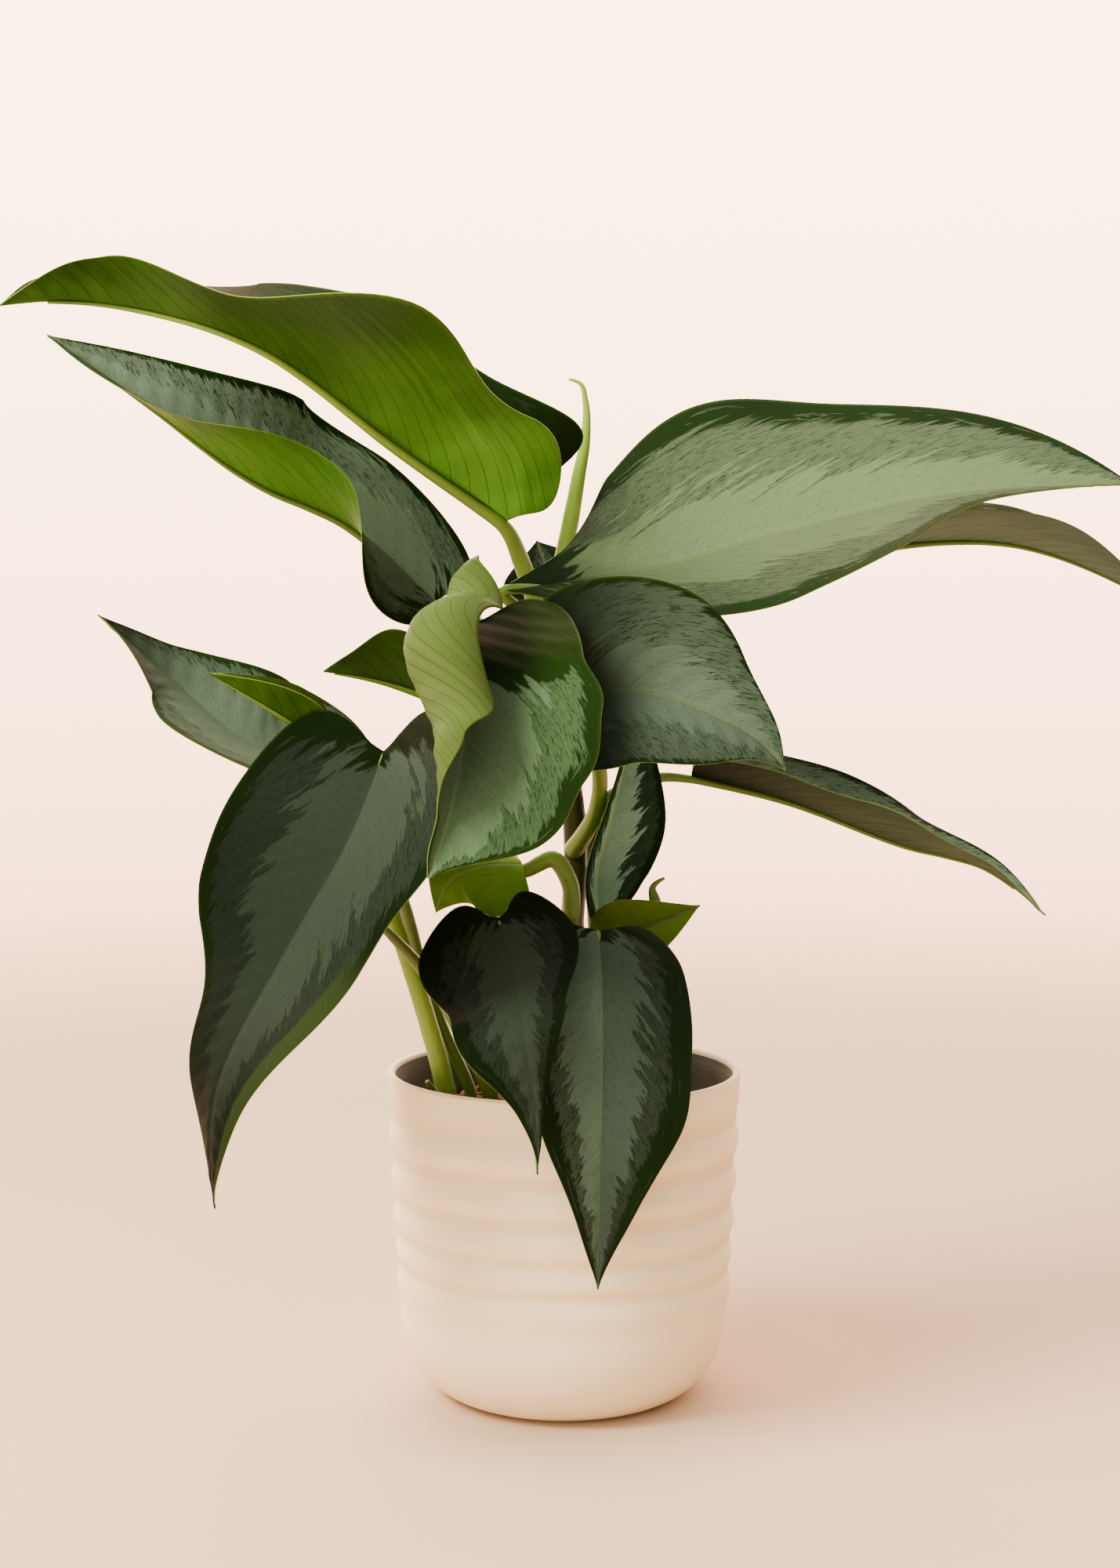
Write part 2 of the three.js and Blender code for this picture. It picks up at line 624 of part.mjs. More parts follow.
function addMesh(name, solid, look) {
  const mesh = solid.asOriginal().simplify(SMOOTHING).getMesh();
  const geometry = new THREE.BufferGeometry();
  const flat = new Float32Array(mesh.numVert * 3);
  for (let i = 0; i < mesh.numVert; i++) {
    flat.set(mesh.vertProperties.subarray(i * mesh.numProp, i * mesh.numProp + 3), i * 3);
  }
  geometry.setAttribute("position", new THREE.BufferAttribute(flat, 3));
  geometry.setIndex([...mesh.triVerts]);
  geometry.computeVertexNormals();
  const made = new THREE.Mesh(geometry, LOOKS[look]);
  made.name = name;
  group.add(made);
}

const largest = (solid) => solid.decompose().sort((a, b) => b.volume() - a.volume())[0];

// Stems first, then the leaves, each cut clear of the stems and stalks made before it.
const madeStems = [];
const cleared = (solid) => {
  let left = solid;
  for (const other of madeStems) left = left.subtract(other);
  return largest(left);
};
for (const [name, stem] of Object.entries(STEMS)) {
  const rings = 3 * (stem.points.length - 1);
  addMesh(name, cleared(tube(stem.points, stem.radii, 9, rings)), "stem");
  madeStems.push(tube(stem.points, stem.radii, 9, rings, GAP));
}
for (const [name, leaf] of Object.entries(LEAVES)) {
  if (!leaf.midrib) {
    const rings = 2 * (leaf.stalk.length - 1);
    addMesh(name, cleared(tube(leaf.stalk, leaf.radii, 7, rings)), "stem");
    madeStems.push(tube(leaf.stalk, leaf.radii, 7, rings, GAP));
    continue;
  }
  const rib = ribPoints(leaf, 0.9);
  const stalk = [...leaf.stalk, rib[0], rib[1]];
  const rings = 2 * (stalk.length - 1);
  const thick = leaf.radius;
  const narrowing = [...leaf.stalk.map(() => 1), 0.75, 0.5];
  const stalkRadii = narrowing.map((share) => share * thick);
  const ribRadii = rib.map((p, i) => thick * 0.62 * (1 - i / 6) + 0.35);
  const body = bladeSolid(leaf).add(tube(stalk, stalkRadii, 7, rings)).add(tube(rib, ribRadii, 5, 5));
  addMesh(name, cleared(body), "leaf");
  madeStems.push(tube(stalk, stalkRadii, 7, rings, GAP));
}
addMesh("pot", turned(potProfile(), POT_SEGMENTS), "ceramic");
let soil = soilSolid();
for (const stem of madeStems) soil = soil.subtract(stem);
addMesh("soil", largest(soil), "soil");

export default group;
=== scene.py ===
"""A potted house plant with silver marked leaves: blades, stems, a rippled ceramic pot and its soil.

Every leaf is one smooth function of two numbers, its row from base to tip and its place from margin to
margin. Its markings are worked out in the material from a flat place stored at each point of the leaf.
"""

import dataclasses
import math

import bpy
import numpy as np
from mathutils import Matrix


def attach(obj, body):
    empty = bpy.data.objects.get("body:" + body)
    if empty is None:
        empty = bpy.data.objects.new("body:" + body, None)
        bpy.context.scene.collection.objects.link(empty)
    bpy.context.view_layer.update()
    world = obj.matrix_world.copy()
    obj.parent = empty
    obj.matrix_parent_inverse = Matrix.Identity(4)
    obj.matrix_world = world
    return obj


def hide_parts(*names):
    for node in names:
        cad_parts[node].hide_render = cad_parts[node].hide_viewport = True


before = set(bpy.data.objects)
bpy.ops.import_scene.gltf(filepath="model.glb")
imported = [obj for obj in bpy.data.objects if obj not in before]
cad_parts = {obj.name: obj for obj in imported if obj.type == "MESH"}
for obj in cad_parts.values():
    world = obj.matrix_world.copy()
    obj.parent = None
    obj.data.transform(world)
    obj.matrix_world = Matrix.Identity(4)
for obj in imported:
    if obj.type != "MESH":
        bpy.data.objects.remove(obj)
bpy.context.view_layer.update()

bl_info = {
    "name": "Potted silver leaved plant",
    "version": (1, 0, 0),
    "blender": (4, 5, 0),
    "location": "3D View > Sidebar > Potted plant",
    "description": "Builds the leaves, stems, pot, soil and studio of a potted plant",
    "category": "Add Mesh",
}

MM = 0.001
BODY = "root"


@dataclasses.dataclass
class Stem:
    """A smooth tube in millimetres, from foot to top."""

    points: list  # x, y, z and radius
    look: str
    rings: tuple = ()  # places of the scars that stand out, as shares of its length


STEMS = {
    "cane_main": Stem(
        points=[
            (-3, 10, 92, 5.4), (-3, 10, 125, 5.4), (3, 7, 191, 5), (5, 7, 231, 5), (1, 8, 271, 4.6),
            (-7, 8, 308, 4.2), (-7, 8, 318, 3.6),
        ],
        look="brown",
        rings=(0.34, 0.46, 0.57, 0.67, 0.77, 0.86),
    ),
    "cane_left": Stem(
        points=[
            (-47, -25, 92, 4.3), (-49, -25, 132, 4.3), (-57, -27, 164, 3.9), (-64, -28, 187, 3.7),
            (-71, -28, 209, 3.5), (-76, -26, 240, 3.3), (-77, -24, 262, 3),
        ],
        look="pale",
        rings=(0.24, 0.75, 0.88),
    ),
    "cane_rear": Stem(
        points=[
            (17, 31, 92, 4.2), (17, 30, 121, 4.2), (15, 25, 195, 4.6), (14, 22, 227, 5),
            (17, 19, 254, 3.4),
        ],
        look="brown",
        rings=(0.3, 0.5, 0.72),
    ),
    "young_shoot": Stem(
        points=[
            (-29, -37, 92, 3), (-30, -38, 132, 3), (-41, -42, 157, 2.8), (-54, -46, 182, 2.8),
            (-69, -50, 200, 2), (-77, -52, 208, 1),
        ],
        look="green",
        rings=(0.55,),
    ),
    "base_bud": Stem(
        points=[
            (-53, -35, 100, 2.8), (-53, -35, 125, 2.8), (-54, -36, 133, 2.8), (-56, -38, 139, 1),
        ],
        look="green",
        rings=(0.6,),
    ),
    "leaf_spear": Stem(
        points=[
            (-7, 9, 322, 3.4), (-4, 12, 340, 3.6), (0, 12, 356, 3.6), (3, 10, 370, 3.6), (6, 7, 387, 3),
            (9, 4, 404, 2.2), (9, 2, 419, 1.3), (7, 1, 426, 0.9), (2, 1, 428, 0.5),
        ],
        look="pale",
    ),
    "leaf_rolled_right": Stem(
        points=[
            (36, -8, 92, 1.8), (36, -8, 120, 1.8), (33, -9, 160, 1.8), (34, -10, 188, 2.4),
            (36, -12, 197, 3), (38, -14, 210, 2.6), (37, -14, 216, 1.4), (42, -14, 220, 0.6),
        ],
        look="green",
    ),
}


@dataclasses.dataclass
class Leaf:
    """A leaf in millimetres and degrees, with its places from base to tip.

    Fold, bend, edge and light have a value for the left half and one for the right half.
    """

    midrib: list  # its points
    width: float  # at the widest place
    face: list  # where the upper side looks
    fold: list  # how far the halves turn up from the midrib
    lobe: float  # how far the heart shaped base reaches back
    wave: tuple  # height, count and phase of the margin's rise and fall
    stalk: list  # its points
    radius: float  # of the stalk
    silver: float  # how far out the silver reaches, as a share of the half
    grey: float  # how far out the grey reaches
    shape: tuple = (0.5, 1.15)  # the outline's exponents at base and tip
    bend: list = ((0,), (0,))  # how far the halves turn on towards the margin
    uneven: float = 0  # share by which the right half is wider
    sweep: float = 0.3  # how far a row starts behind the place where it ends
    edge: list = ((1,), (1,))  # widths of the halves, as shares
    ripple: tuple = (0.02, 2, 0.2)  # share, count and phase of the outline's waves
    palette: str = "marked"  # tones of the upper side
    light: tuple = (0.3, 0.3)  # share of their colour that the markings keep on each half: painted shade, partly also the leaf's own darker tone
    run: tuple = (1, 1, 1)  # change of that painted shade at base, middle and tip
    dim: float = 0.85  # light of the grey
    deep: float = 1  # share of the dark green's colour that is kept: painted shade on the shaded leaves, partly also their own darker tone
    begin: float = 0.02  # share of the length where the markings begin
    slant: float = 1.1  # how much the side veins slant
    midrib_light: float = 1  # how clearly the midrib shows
    rolled: tuple = ()  # where a darker band along the left margin begins, and how far in it reaches
    gloss: float = 0.08
    under: str = "bright"  # tones of the lower side
    under_run: tuple = (1, 1, 1)  # change of its light at base, middle and tip: painted shade
    under_gloss: float = 0.02
    stalk_look: str = "green"


LEAVES = {
    "leaf_top_left": Leaf(
        midrib=[(-23, -21, 368), (-61, -41, 393), (-127, -63, 437), (-185, -69, 450), (-211, -101, 444)],
        width=122, face=[(0.12, -0.44, 0.76), (0.02, 0.06, 1)], fold=[(68, 34, 61), (75, 20, 33)],
        lobe=0.09, shape=(0.41, 1.04),
        edge=[(0.35, 1.02, 1.45, 0.63, 0.75, 1.25), (1, 0.82, 1.11, 1.37, 0.94, 1)],
        ripple=(0.1, 2.4, 0.15), wave=(2.5, 2.6, 0.1), stalk=[(-8, 7, 308), (-12, 4, 334), (-18, -6, 352)],
        radius=3.7, stalk_look="pale", silver=0.35, grey=0.7, light=(0.2, 0.2), gloss=0.02, under="painted_glow",
        under_run=(1, 0.22, 0.4), under_gloss=0.1,
    ),
    "leaf_second_left": Leaf(
        midrib=[(-54, -8, 335), (-91, -10, 368), (-125, -17, 383), (-174, -24, 418), (-210, -26, 443)],
        width=99, face=[(-0.11, -0.25, 1), (-0.28, -0.47, 0.73)], fold=[(-3, 51, 27), (16, 37, 24)],
        lobe=0.07, shape=(0.53, 1.19), edge=[(0.9, 1.08, 0.84, 1.04, 1, 1), (1,)], ripple=(0.04, 2, 0.2),
        wave=(1.5, 2, 0.4), stalk=[(-7, 8, 286), (-26, 1, 318), (-40, -3, 328)], radius=2.6, silver=0.55,
        grey=0.9, palette="even", light=(0.28, 0.6), run=(0.65, 1.1, 0.6), dim=1, gloss=0, under="painted_glow",
        under_run=(0.5, 0.5, 0.6), under_gloss=0.01,
    ),
    "leaf_big_right": Leaf(
        midrib=[(-25, -27, 340), (37, -11, 349), (91, 2, 364), (159, 4, 380), (236, -5, 384)], width=115,
        uneven=-0.2, sweep=0.15, face=[(0, -0.8, 0.71), (0, -0.66, 0.75)], fold=[(4,), (4, 31)],
        bend=[(3,), (0,)], lobe=-0.06, shape=(0.76, 0.91),
        edge=[(0.61, 1.07, 1.15, 1, 1.08, 1.05), (1, 0.99, 1.08, 1.14, 0.54, 1.09)], ripple=(0.03, 2, 0.2),
        wave=(1.5, 2.2, 0.1), stalk=[(-7, 8, 296), (-9, -4, 316), (-18, -18, 331)], radius=2.8, silver=0.42,
        grey=0.82, palette="pale", light=(0.4, 0.29), run=(0.6, 0.95, 0.9), dim=1, begin=0.12, slant=1.9,
        gloss=0.04, under="olive",
    ),
    "leaf_far_right": Leaf(
        midrib=[(110, 45, 354), (160, 55, 363), (202, 62, 362), (248, 66, 346), (286, 64, 322)], width=79,
        face=[(0, 0.13, 0.97), (0.17, -0.1, 0.93)], fold=[(30,), (16,)], lobe=0.08, shape=(0.52, 1.08),
        ripple=(0.04, 2, 0.2), wave=(1.5, 2, 0),
        stalk=[(-7, 8, 282), (2, 18, 302), (24, 30, 326), (62, 38, 343)], radius=2.4, silver=0.4, grey=0.82,
        light=(0.5, 0.5), gloss=0.02, under="dusty", under_run=(0.8, 0.8, 0.8), under_gloss=0.01,
    ),
    "leaf_low_right": Leaf(
        midrib=[(55, 21, 261), (95, 18, 251), (145, 8, 232), (182, 6, 221), (204, -2, 203)], width=62,
        face=[(0, 0, 1), (0.3, 0, 1)], fold=[(38, 36, 28), (22, 28, 3)], lobe=0.04, shape=(0.5, 1.12),
        edge=[(1, 0.95, 0.95, 1.03, 0.82, 1.08), (1, 1.08, 0.78, 1.15, 0.96, 1)], ripple=(0.05, 2.2, 0.1),
        wave=(1.2, 2.4, 0.2), stalk=[(17, 19, 250), (27, 18, 256), (42, 20, 260)], radius=2.2, silver=0.5,
        grey=0.88, palette="even", light=(0.5, 0.5), dim=1, gloss=0.02, under="brown",
        under_run=(0.1, 0.6, 0.9), under_gloss=0.01,
    ),
    "leaf_centre_right": Leaf(
        midrib=[(3, -58, 294), (33, -63, 298), (58, -66, 290), (77, -68, 279), (87, -70, 268)], width=95,
        face=[(0.1, -0.9, 0.4), (0.3, -0.9, 0.6)], fold=[(24, -6), (38, 10)], bend=[(0,), (-8,)], lobe=0.15,
        shape=(0.45, 1.23), wave=(1, 2, 0.3),
        stalk=[(4, 4, 230), (13, -16, 248), (14, -36, 268), (7, -53, 285)], radius=3.2, silver=0.45,
        grey=0.94, palette="even", light=(0.34, 0.26), run=(0.1, 1, 0.8), dim=1, gloss=0.03, under="olive",
    ),
    "leaf_crown_front": Leaf(
        midrib=[(-38, -65, 325), (-38, -99, 303), (-38, -119, 276), (-42, -135, 255), (-49, -146, 234)],
        width=120, uneven=0.1, sweep=0.2, face=[(0.1, -0.6, 0.7), (0.1, -1, 0.2)],
        fold=[(8, 12, -5), (19, -18, 11, 12)], bend=[(19,), (150, 240, 226, 230, 154, 90, 29)], lobe=0.18,
        shape=(0.55, 0.95),
        edge=[(0.76, 0.88, 0.88, 1.03, 1.17, 1.46, 0.79), (0.85, 0.72, 1.1, 0.91, 0.72, 0.3, 0.37)],
        wave=(0.6, 2, 0.3), stalk=[(-1, 7, 271), (-13, -8, 293), (-28, -38, 316), (-36, -60, 325)],
        radius=2.8, silver=0.55, grey=0.86, palette="fresh", light=(1, 1), begin=0.36, midrib_light=0.2,
        gloss=0.05, under="pale",
    ),
    "leaf_front_left": Leaf(
        midrib=[(-72, -53, 275), (-84, -75, 242), (-106, -94, 202), (-132, -111, 147), (-134, -101, 102)],
        width=111, face=[(-0.3, -0.82, 0.47), (-0.44, -0.77, 0.12)], fold=[(24, 21), (6, -32)], lobe=0.15,
        shape=(0.67, 1.41), edge=[(0.55, 1.29, 0.9, 1.04, 0.9, 1), (1.11, 1.08, 1.06, 0.77, 1, 1)],
        wave=(1.2, 2.5, 0.5),
        stalk=[
            (-38, -17, 92), (-39, -18, 130), (-49, -20, 154), (-57, -23, 176), (-63, -36, 204),
            (-68, -46, 226), (-70, -50, 250),
        ],
        radius=2.5, silver=0.5, grey=0.88, light=(0.09, 0.055), run=(1.2, 0.8, 0.15), dim=1, deep=0.35,
        midrib_light=0.01, rolled=(0.4, 0.25), gloss=0.02,
    ),
    "leaf_mid_left": Leaf(
        midrib=[(-79, 23, 260), (-130, 4, 274), (-169, 12, 304), (-196, 0, 330)], width=90,
        face=[(0.26, -0.46, 0.82), (0.26, -0.62, 0.84)], fold=[(21, 19), (11, 16)], lobe=0.02,
        shape=(0.51, 1.3), edge=[(1, 1.02, 0.85, 1.12, 1.13, 0.95), (0.98, 1.09, 0.89, 1.08, 0.83, 1)],
        ripple=(0.05, 2.3, 0.3), wave=(1.2, 2, 0.2), stalk=[(-77, -26, 248), (-75, -3, 256)], radius=2.2,
        silver=0.65, grey=0.9, palette="even", light=(0.27, 0.27), run=(1.1, 0.95, 0.5), dim=1, gloss=0.02,
        under="olive",
    ),
    "leaf_young_left": Leaf(
        midrib=[(-99, -23, 278), (-122, -31, 293), (-144, -35, 306)], width=28, face=[(0.2, -0.3, 1)],
        fold=[(70,), (65,)], lobe=0.02, ripple=(0, 2, 0.2), wave=(0, 2, 0),
        stalk=[(-77, -27, 246), (-86, -41, 263)], radius=1.8, silver=-1, grey=-1, palette="plain", deep=0.6,
    ),
    "leaf_rear_left": Leaf(
        midrib=[(-59, 22, 296), (-79, 20, 302), (-103, 16, 306)], width=56, face=[(-0.2, 0.1, 1)],
        fold=[(50,), (40,)], lobe=0.04, ripple=(0.03, 2, 0.2), wave=(1, 2, 0),
        stalk=[(0, 9, 262), (-30, 20, 287)], radius=2, silver=0.2, grey=0.7, light=(0.25, 0.25),
        under="olive", under_gloss=0.01,
    ),
    "leaf_rear": Leaf(
        midrib=[(-3, 44, 334), (-7, 48, 347), (-12, 52, 363)], width=46, face=[(0.2, -1, 0.2)],
        fold=[(10,), (10,)], lobe=0.1, wave=(0.8, 2, 0), stalk=[(-7, 8, 292), (-5, 22, 310), (-4, 34, 324)],
        radius=2, silver=0.1, grey=0.4, light=(0.25, 0.25), under="olive",
    ),
    "leaf_upright": Leaf(
        midrib=[(15, -2, 202), (14, -4, 217), (20, -5, 243), (26, 0, 267), (34, 8, 293)], width=55,
        face=[(0.5, -0.5, 0), (0.5, -0.6, -0.1)], fold=[(33, 42), (10, 23)], lobe=0.03, shape=(0.52, 1.07),
        wave=(0.6, 2, 0), stalk=[(12, 8, 92), (12, 8, 124), (11, 4, 161), (13, 0, 192)], radius=2,
        silver=0.5, grey=0.84, palette="cold", light=(1, 0.9), dim=0.3, gloss=0,
    ),
    "leaf_small_right": Leaf(
        midrib=[(12, -19, 194), (33, -23, 200), (56, -27, 210)], width=30, face=[(0, -0.8, 0.6)],
        fold=[(50,), (-10,)], lobe=0.02, ripple=(0, 2, 0.2), wave=(0, 2, 0),
        stalk=[(28, 4, 92), (28, 4, 120), (18, -9, 160), (10, -17, 184)], radius=1.6, silver=-1, grey=-1,
        palette="plain",
    ),
    "leaf_front_centre": Leaf(
        midrib=[(-26, -68, 210), (-19, -88, 186), (-16, -103, 173), (-11, -111, 141), (-10, -117, 119)],
        width=56, uneven=0.09, face=[(-0.11, -0.64, 0.69), (0.2, -0.9, 0.15)], fold=[(-14, -18), (-12, 17)],
        lobe=0.17, shape=(0.57, 1.67),
        edge=[(0.69, 1.21, 0.8, 0.79, 0.66, 0.98), (0.6, 1.22, 1, 1.28, 1.07, 0.85)], wave=(0.8, 2, 0.2),
        stalk=[(-20, -30, 92), (-21, -31, 132), (-20, -50, 176), (-22, -60, 200)], radius=2.2, silver=0.45,
        grey=0.76, light=(0.11, 0.1), dim=1, deep=0.5, midrib_light=0.01, gloss=0.05,
    ),
    "leaf_front_right": Leaf(
        midrib=[(14, -44, 202), (15, -68, 183), (15, -83, 154), (14, -92, 119), (13, -93, 68)], width=70,
        uneven=-0.03, face=[(0.21, -0.7, 0.71), (0.13, -1, 0.1)], fold=[(7, 10), (-5, 3)], lobe=0.08,
        shape=(0.53, 1.24), edge=[(0.8, 0.97, 1, 1.15, 1.09, 0.96), (1, 1, 1, 0.95, 0.86, 1)],
        wave=(1, 2.2, 0.2), stalk=[(8, -20, 92), (8, -20, 130), (11, -36, 167), (13, -42, 191)], radius=2.2,
        silver=0.48, grey=0.72, palette="cool", light=(0.19, 0.33), run=(1, 0.95, 0.7), dim=0.8, deep=0.6,
        midrib_light=0.4, gloss=0.05,
    ),
    "leaf_inner_arched": Leaf(
        midrib=[(-17, -38, 228), (-32, -44, 228), (-45, -46, 223), (-52, -44, 209)], width=52,
        face=[(0, -0.5, 1), (-0.5, -0.8, 0.4)], fold=[(-25,), (0,)], lobe=0.05, wave=(0.6, 2, 0),
        stalk=[(-6, -22, 92), (-6, -22, 131), (-2, -30, 177), (3, -35, 208), (2, -37, 221), (-4, -38, 230)],
        radius=3.6, silver=-1, grey=-1, palette="painted_lit", light=(1, 1), gloss=0.1,
    ),
}


def tone(red, green, blue):
    """A colour given as screen values from 0 to 255, made linear for the shader."""
    parts = [value / 255 for value in (red, green, blue)]
    linear = [p / 12.92 if p <= 0.04045 else ((p + 0.055) / 1.055) ** 2.4 for p in parts]
    return (*linear, 1.0)


def pair(first, second):
    """Two tones, between which noise moves the colour."""
    return tone(*first), tone(*second)


RIB = tone(140, 158, 90)
MID_GREEN = tone(42, 62, 10)
BLACK = tone(0, 0, 0)
SILVERS = pair((128, 151, 118), (118, 141, 112))
GREYS = pair((84, 104, 80), (95, 115, 90))
DARKS = pair((13, 25, 6), (19, 37, 7))
# Upper sides: the silver by the midrib, the grey outside it and the dark green of the margin.
PALETTES = {
    "marked": (SILVERS, GREYS, DARKS),
    "even": (SILVERS, pair((100, 122, 93), (110, 132, 103)), DARKS),
    # pale: a yellower, brighter copy of the silver and grey for the leaf in full light, as painted light.
    "pale": (pair((134, 157, 104), (124, 148, 100)), pair((100, 117, 82), (110, 127, 92)), DARKS),
    "cool": (pair((122, 150, 124), (110, 138, 112)), GREYS, DARKS),
    "cold": (pair((118, 156, 136), (106, 144, 126)), pair((66, 94, 76), (76, 106, 88)), DARKS),
    "fresh": (
        pair((60, 80, 52), (68, 88, 60)),
        pair((46, 64, 36), (54, 74, 44)),
        pair((11, 24, 2), (16, 34, 4)),
    ),
    # painted_lit: a brighter copy of the plain dark green, painted light on the arched leaf.
    "painted_lit": (SILVERS, GREYS, pair((84, 122, 16), (104, 142, 30))),
    "plain": (SILVERS, GREYS, pair((54, 72, 6), (68, 86, 14))),
}
# Lower sides: the deep tone, and a paler painted glow where light would come through the silver.
UNDERSIDES = {
    "bright": pair((36, 62, 2), (53, 86, 7)),
    "painted_glow": pair((54, 104, 10), (90, 150, 40)),
    "pale": pair((60, 74, 30), (76, 90, 46)),
    "olive": pair((38, 58, 15), (52, 72, 28)),
    "brown": pair((62, 77, 58), (80, 95, 74)),
    "dusty": pair((76, 94, 80), (94, 112, 96)),
}
# Stems and stalks: two tones along the skin, and the tone of its flecks.
STEM_TONES = {
    "green_stalk": ((66, 92, 12), (88, 114, 30), (40, 52, 8)),
    "pale_stalk": ((88, 118, 26), (114, 144, 50), (60, 76, 16)),
    "pale_stem": ((106, 140, 32), (140, 170, 64), (66, 82, 20)),
    "green_stem": ((68, 86, 12), (92, 108, 30), (40, 48, 8)),
    "brown_stem": ((24, 22, 4), (40, 40, 10), (14, 11, 3)),
}


# Curves and surfaces.


def unit(vectors):
    """Each vector divided by its length."""
    return vectors / np.maximum(np.linalg.norm(vectors, axis=-1, keepdims=True), 1e-12)


def knots_along(points):
    """Each point's share of the length of the chords."""
    steps = np.linalg.norm(np.diff(points, axis=0), axis=1)
    return np.concatenate([[0.0], np.cumsum(steps)]) / steps.sum()


def curve(points, t):
    """Places on the smooth curve through the points, t being the share of the chord length.

    Between two points it is the cubic with the tangents that a parabola through the neighbours has, and
    past either end it goes on in a straight line.
    """
    points = np.asarray(points, float)
    last = len(points) - 1
    knots = knots_along(points)
    slopes = np.diff(points, axis=0) / np.diff(knots)[:, None]
    tangents = np.empty_like(points)
    if last == 1:
        tangents[:] = slopes[0]
    else:
        weight = (np.diff(knots)[1:] / (knots[2:] - knots[:-2]))[:, None]
        tangents[1:-1] = slopes[:-1] * weight + slopes[1:] * (1 - weight)
        tangents[0] = 1.5 * slopes[0] - 0.5 * tangents[1]
        tangents[-1] = 1.5 * slopes[-1] - 0.5 * tangents[-2]
    t = np.asarray(t, float)
    inside = np.clip(t, 0, 1)
    k = np.clip(np.searchsorted(knots, inside, side="right") - 1, 0, last - 1)
    span = (knots[k + 1] - knots[k])[..., None]
    x = (inside - knots[k])[..., None] / span
    place = (
        (2 * x**3 - 3 * x**2 + 1) * points[k]
        + (x**3 - 2 * x**2 + x) * span * tangents[k]
        + (3 * x**2 - 2 * x**3) * points[k + 1]
        + (x**3 - x**2) * span * tangents[k + 1]
    )
    before = np.minimum(t, 0)[..., None] * tangents[0]
    after = np.maximum(t - 1, 0)[..., None] * tangents[-1]
    return place + before + after


def direction(points, t, step=0.002):
    """The curve's direction at t, from a step back to a step on."""
    t = np.asarray(t, float)
    return unit(curve(points, t + step) - curve(points, t - step))


def spread(values, t):
    """The value at t of a list spread evenly from 0 to 1, eased from one entry to the next."""
    values = np.asarray(values, float)
    if len(values) == 1:
        return np.full(np.shape(t), values[0])
    x = np.clip(t, 0, 1) * (len(values) - 1)
    k = np.minimum(np.floor(x).astype(int), len(values) - 2)
    share = (x - k) ** 2 * (3 - 2 * (x - k))
    return values[k] * (1 - share) + values[k + 1] * share


def by_half(halves, left, t):
    """The value at t of the list of the left half or of the right half."""
    return np.where(left, spread(halves[0], t), spread(halves[1], t))


def midrib_length(leaf):
    """Length of a leaf's midrib in millimetres."""
    places = curve(leaf.midrib, np.linspace(0, 1, 60))
    return float(np.linalg.norm(np.diff(places, axis=0), axis=1).sum())


def row_start(leaf, row):
    """The share of the midrib where a row starts, a little behind the place where it ends."""
    return row - leaf.sweep * row * (1 - row)


def midrib_frame(leaf, u):
    """The midrib's direction at u, and the upper side's direction made square to it."""
    along = direction(leaf.midrib, u)
    face = np.asarray(leaf.face, float)
    look = np.stack([spread(face[:, i], u) for i in range(3)], -1)
    return along, unit(look - along * (look * along).sum(-1, keepdims=True))


LOBE_SHARE = 0.09  # of the length, where the lobes reach back most
ROW_CURVE = 1.4  # exponent of a row's way from midrib to margin
LEAST_BEND = 1e-4  # radians, so that an arc never becomes a straight line
HALF_PHASE = 0.17  # turns by which the waves of the left margin run ahead
SWELL_SLANT = 0.7  # of the swollen fields between the side veins
GROOVE_DEPTH = 0.35  # millimetres, of the groove over the midrib
GROOVE_WIDTH = 1.6


def leaf_surface(leaf, row, across, sizes):
    """Places and flat coordinates of a leaf's middle surface, in millimetres.

    The half width is a power of the row times a power of its distance from the tip. A row starts on the
    midrib a little behind the place where it ends on the margin. Each half turns up from the midrib by
    its fold angle and goes on along an arc of its bend angle. The margin rises and falls as a sine of the
    row, the blade swells between its side veins, and a groove runs over the midrib.
    """
    first, second = leaf.shape
    peak = first / (first + second)
    width = (row / peak) ** first * ((1 - row) / (1 - peak)) ** second
    amount, count, phase = leaf.ripple
    width = width * (1 + amount * np.sin(2 * np.pi * (count * row + phase)))
    far = np.abs(across)
    left = across < 0
    sign = np.where(left, -1.0, 1.0)
    ending = row - leaf.lobe * (row / LOBE_SHARE) * np.exp(1 - row / LOBE_SHARE)
    start = row_start(leaf, row)
    u = start + (ending - start) * far**ROW_CURVE
    along, normal = midrib_frame(leaf, u)
    right = np.cross(along, normal)
    fold = np.radians(by_half(leaf.fold, left, u))
    bend = np.radians(by_half(leaf.bend, left, u))
    bend = np.where(np.abs(bend) < LEAST_BEND, LEAST_BEND, bend)
    half = leaf.width / 2 * width * by_half(leaf.edge, left, row) * (1 + sign * leaf.uneven)
    end = fold + bend * far
    out = half * (np.sin(end) - np.sin(fold)) / bend
    up = -half * (np.cos(end) - np.cos(fold)) / bend
    place = curve(leaf.midrib, u) + right * (sign * out)[..., None] + normal * up[..., None]
    outward = np.cos(end)[..., None] * normal - (sign * np.sin(end))[..., None] * right

    along_mm = u * midrib_length(leaf)
    out_mm = half * far
    height, waves, shift = leaf.wave
    turn = 2 * np.pi * (waves * row + shift + HALF_PHASE * left)
    lift = height * far**2 * np.sin(turn) * (4 * row * (1 - row)) ** 0.5
    swell = np.cos(2 * np.pi * (along_mm - SWELL_SLANT * out_mm) / (sizes.vein_spacing / MM))
    lift = lift + sizes.quilting / MM * swell * 4 * far * (1 - far)
    lift = lift - GROOVE_DEPTH * np.exp(-((out_mm / GROOVE_WIDTH) ** 2))
    flat = np.stack([along_mm, sign * out_mm, sign * far], -1)
    return place + outward * lift[..., None], flat


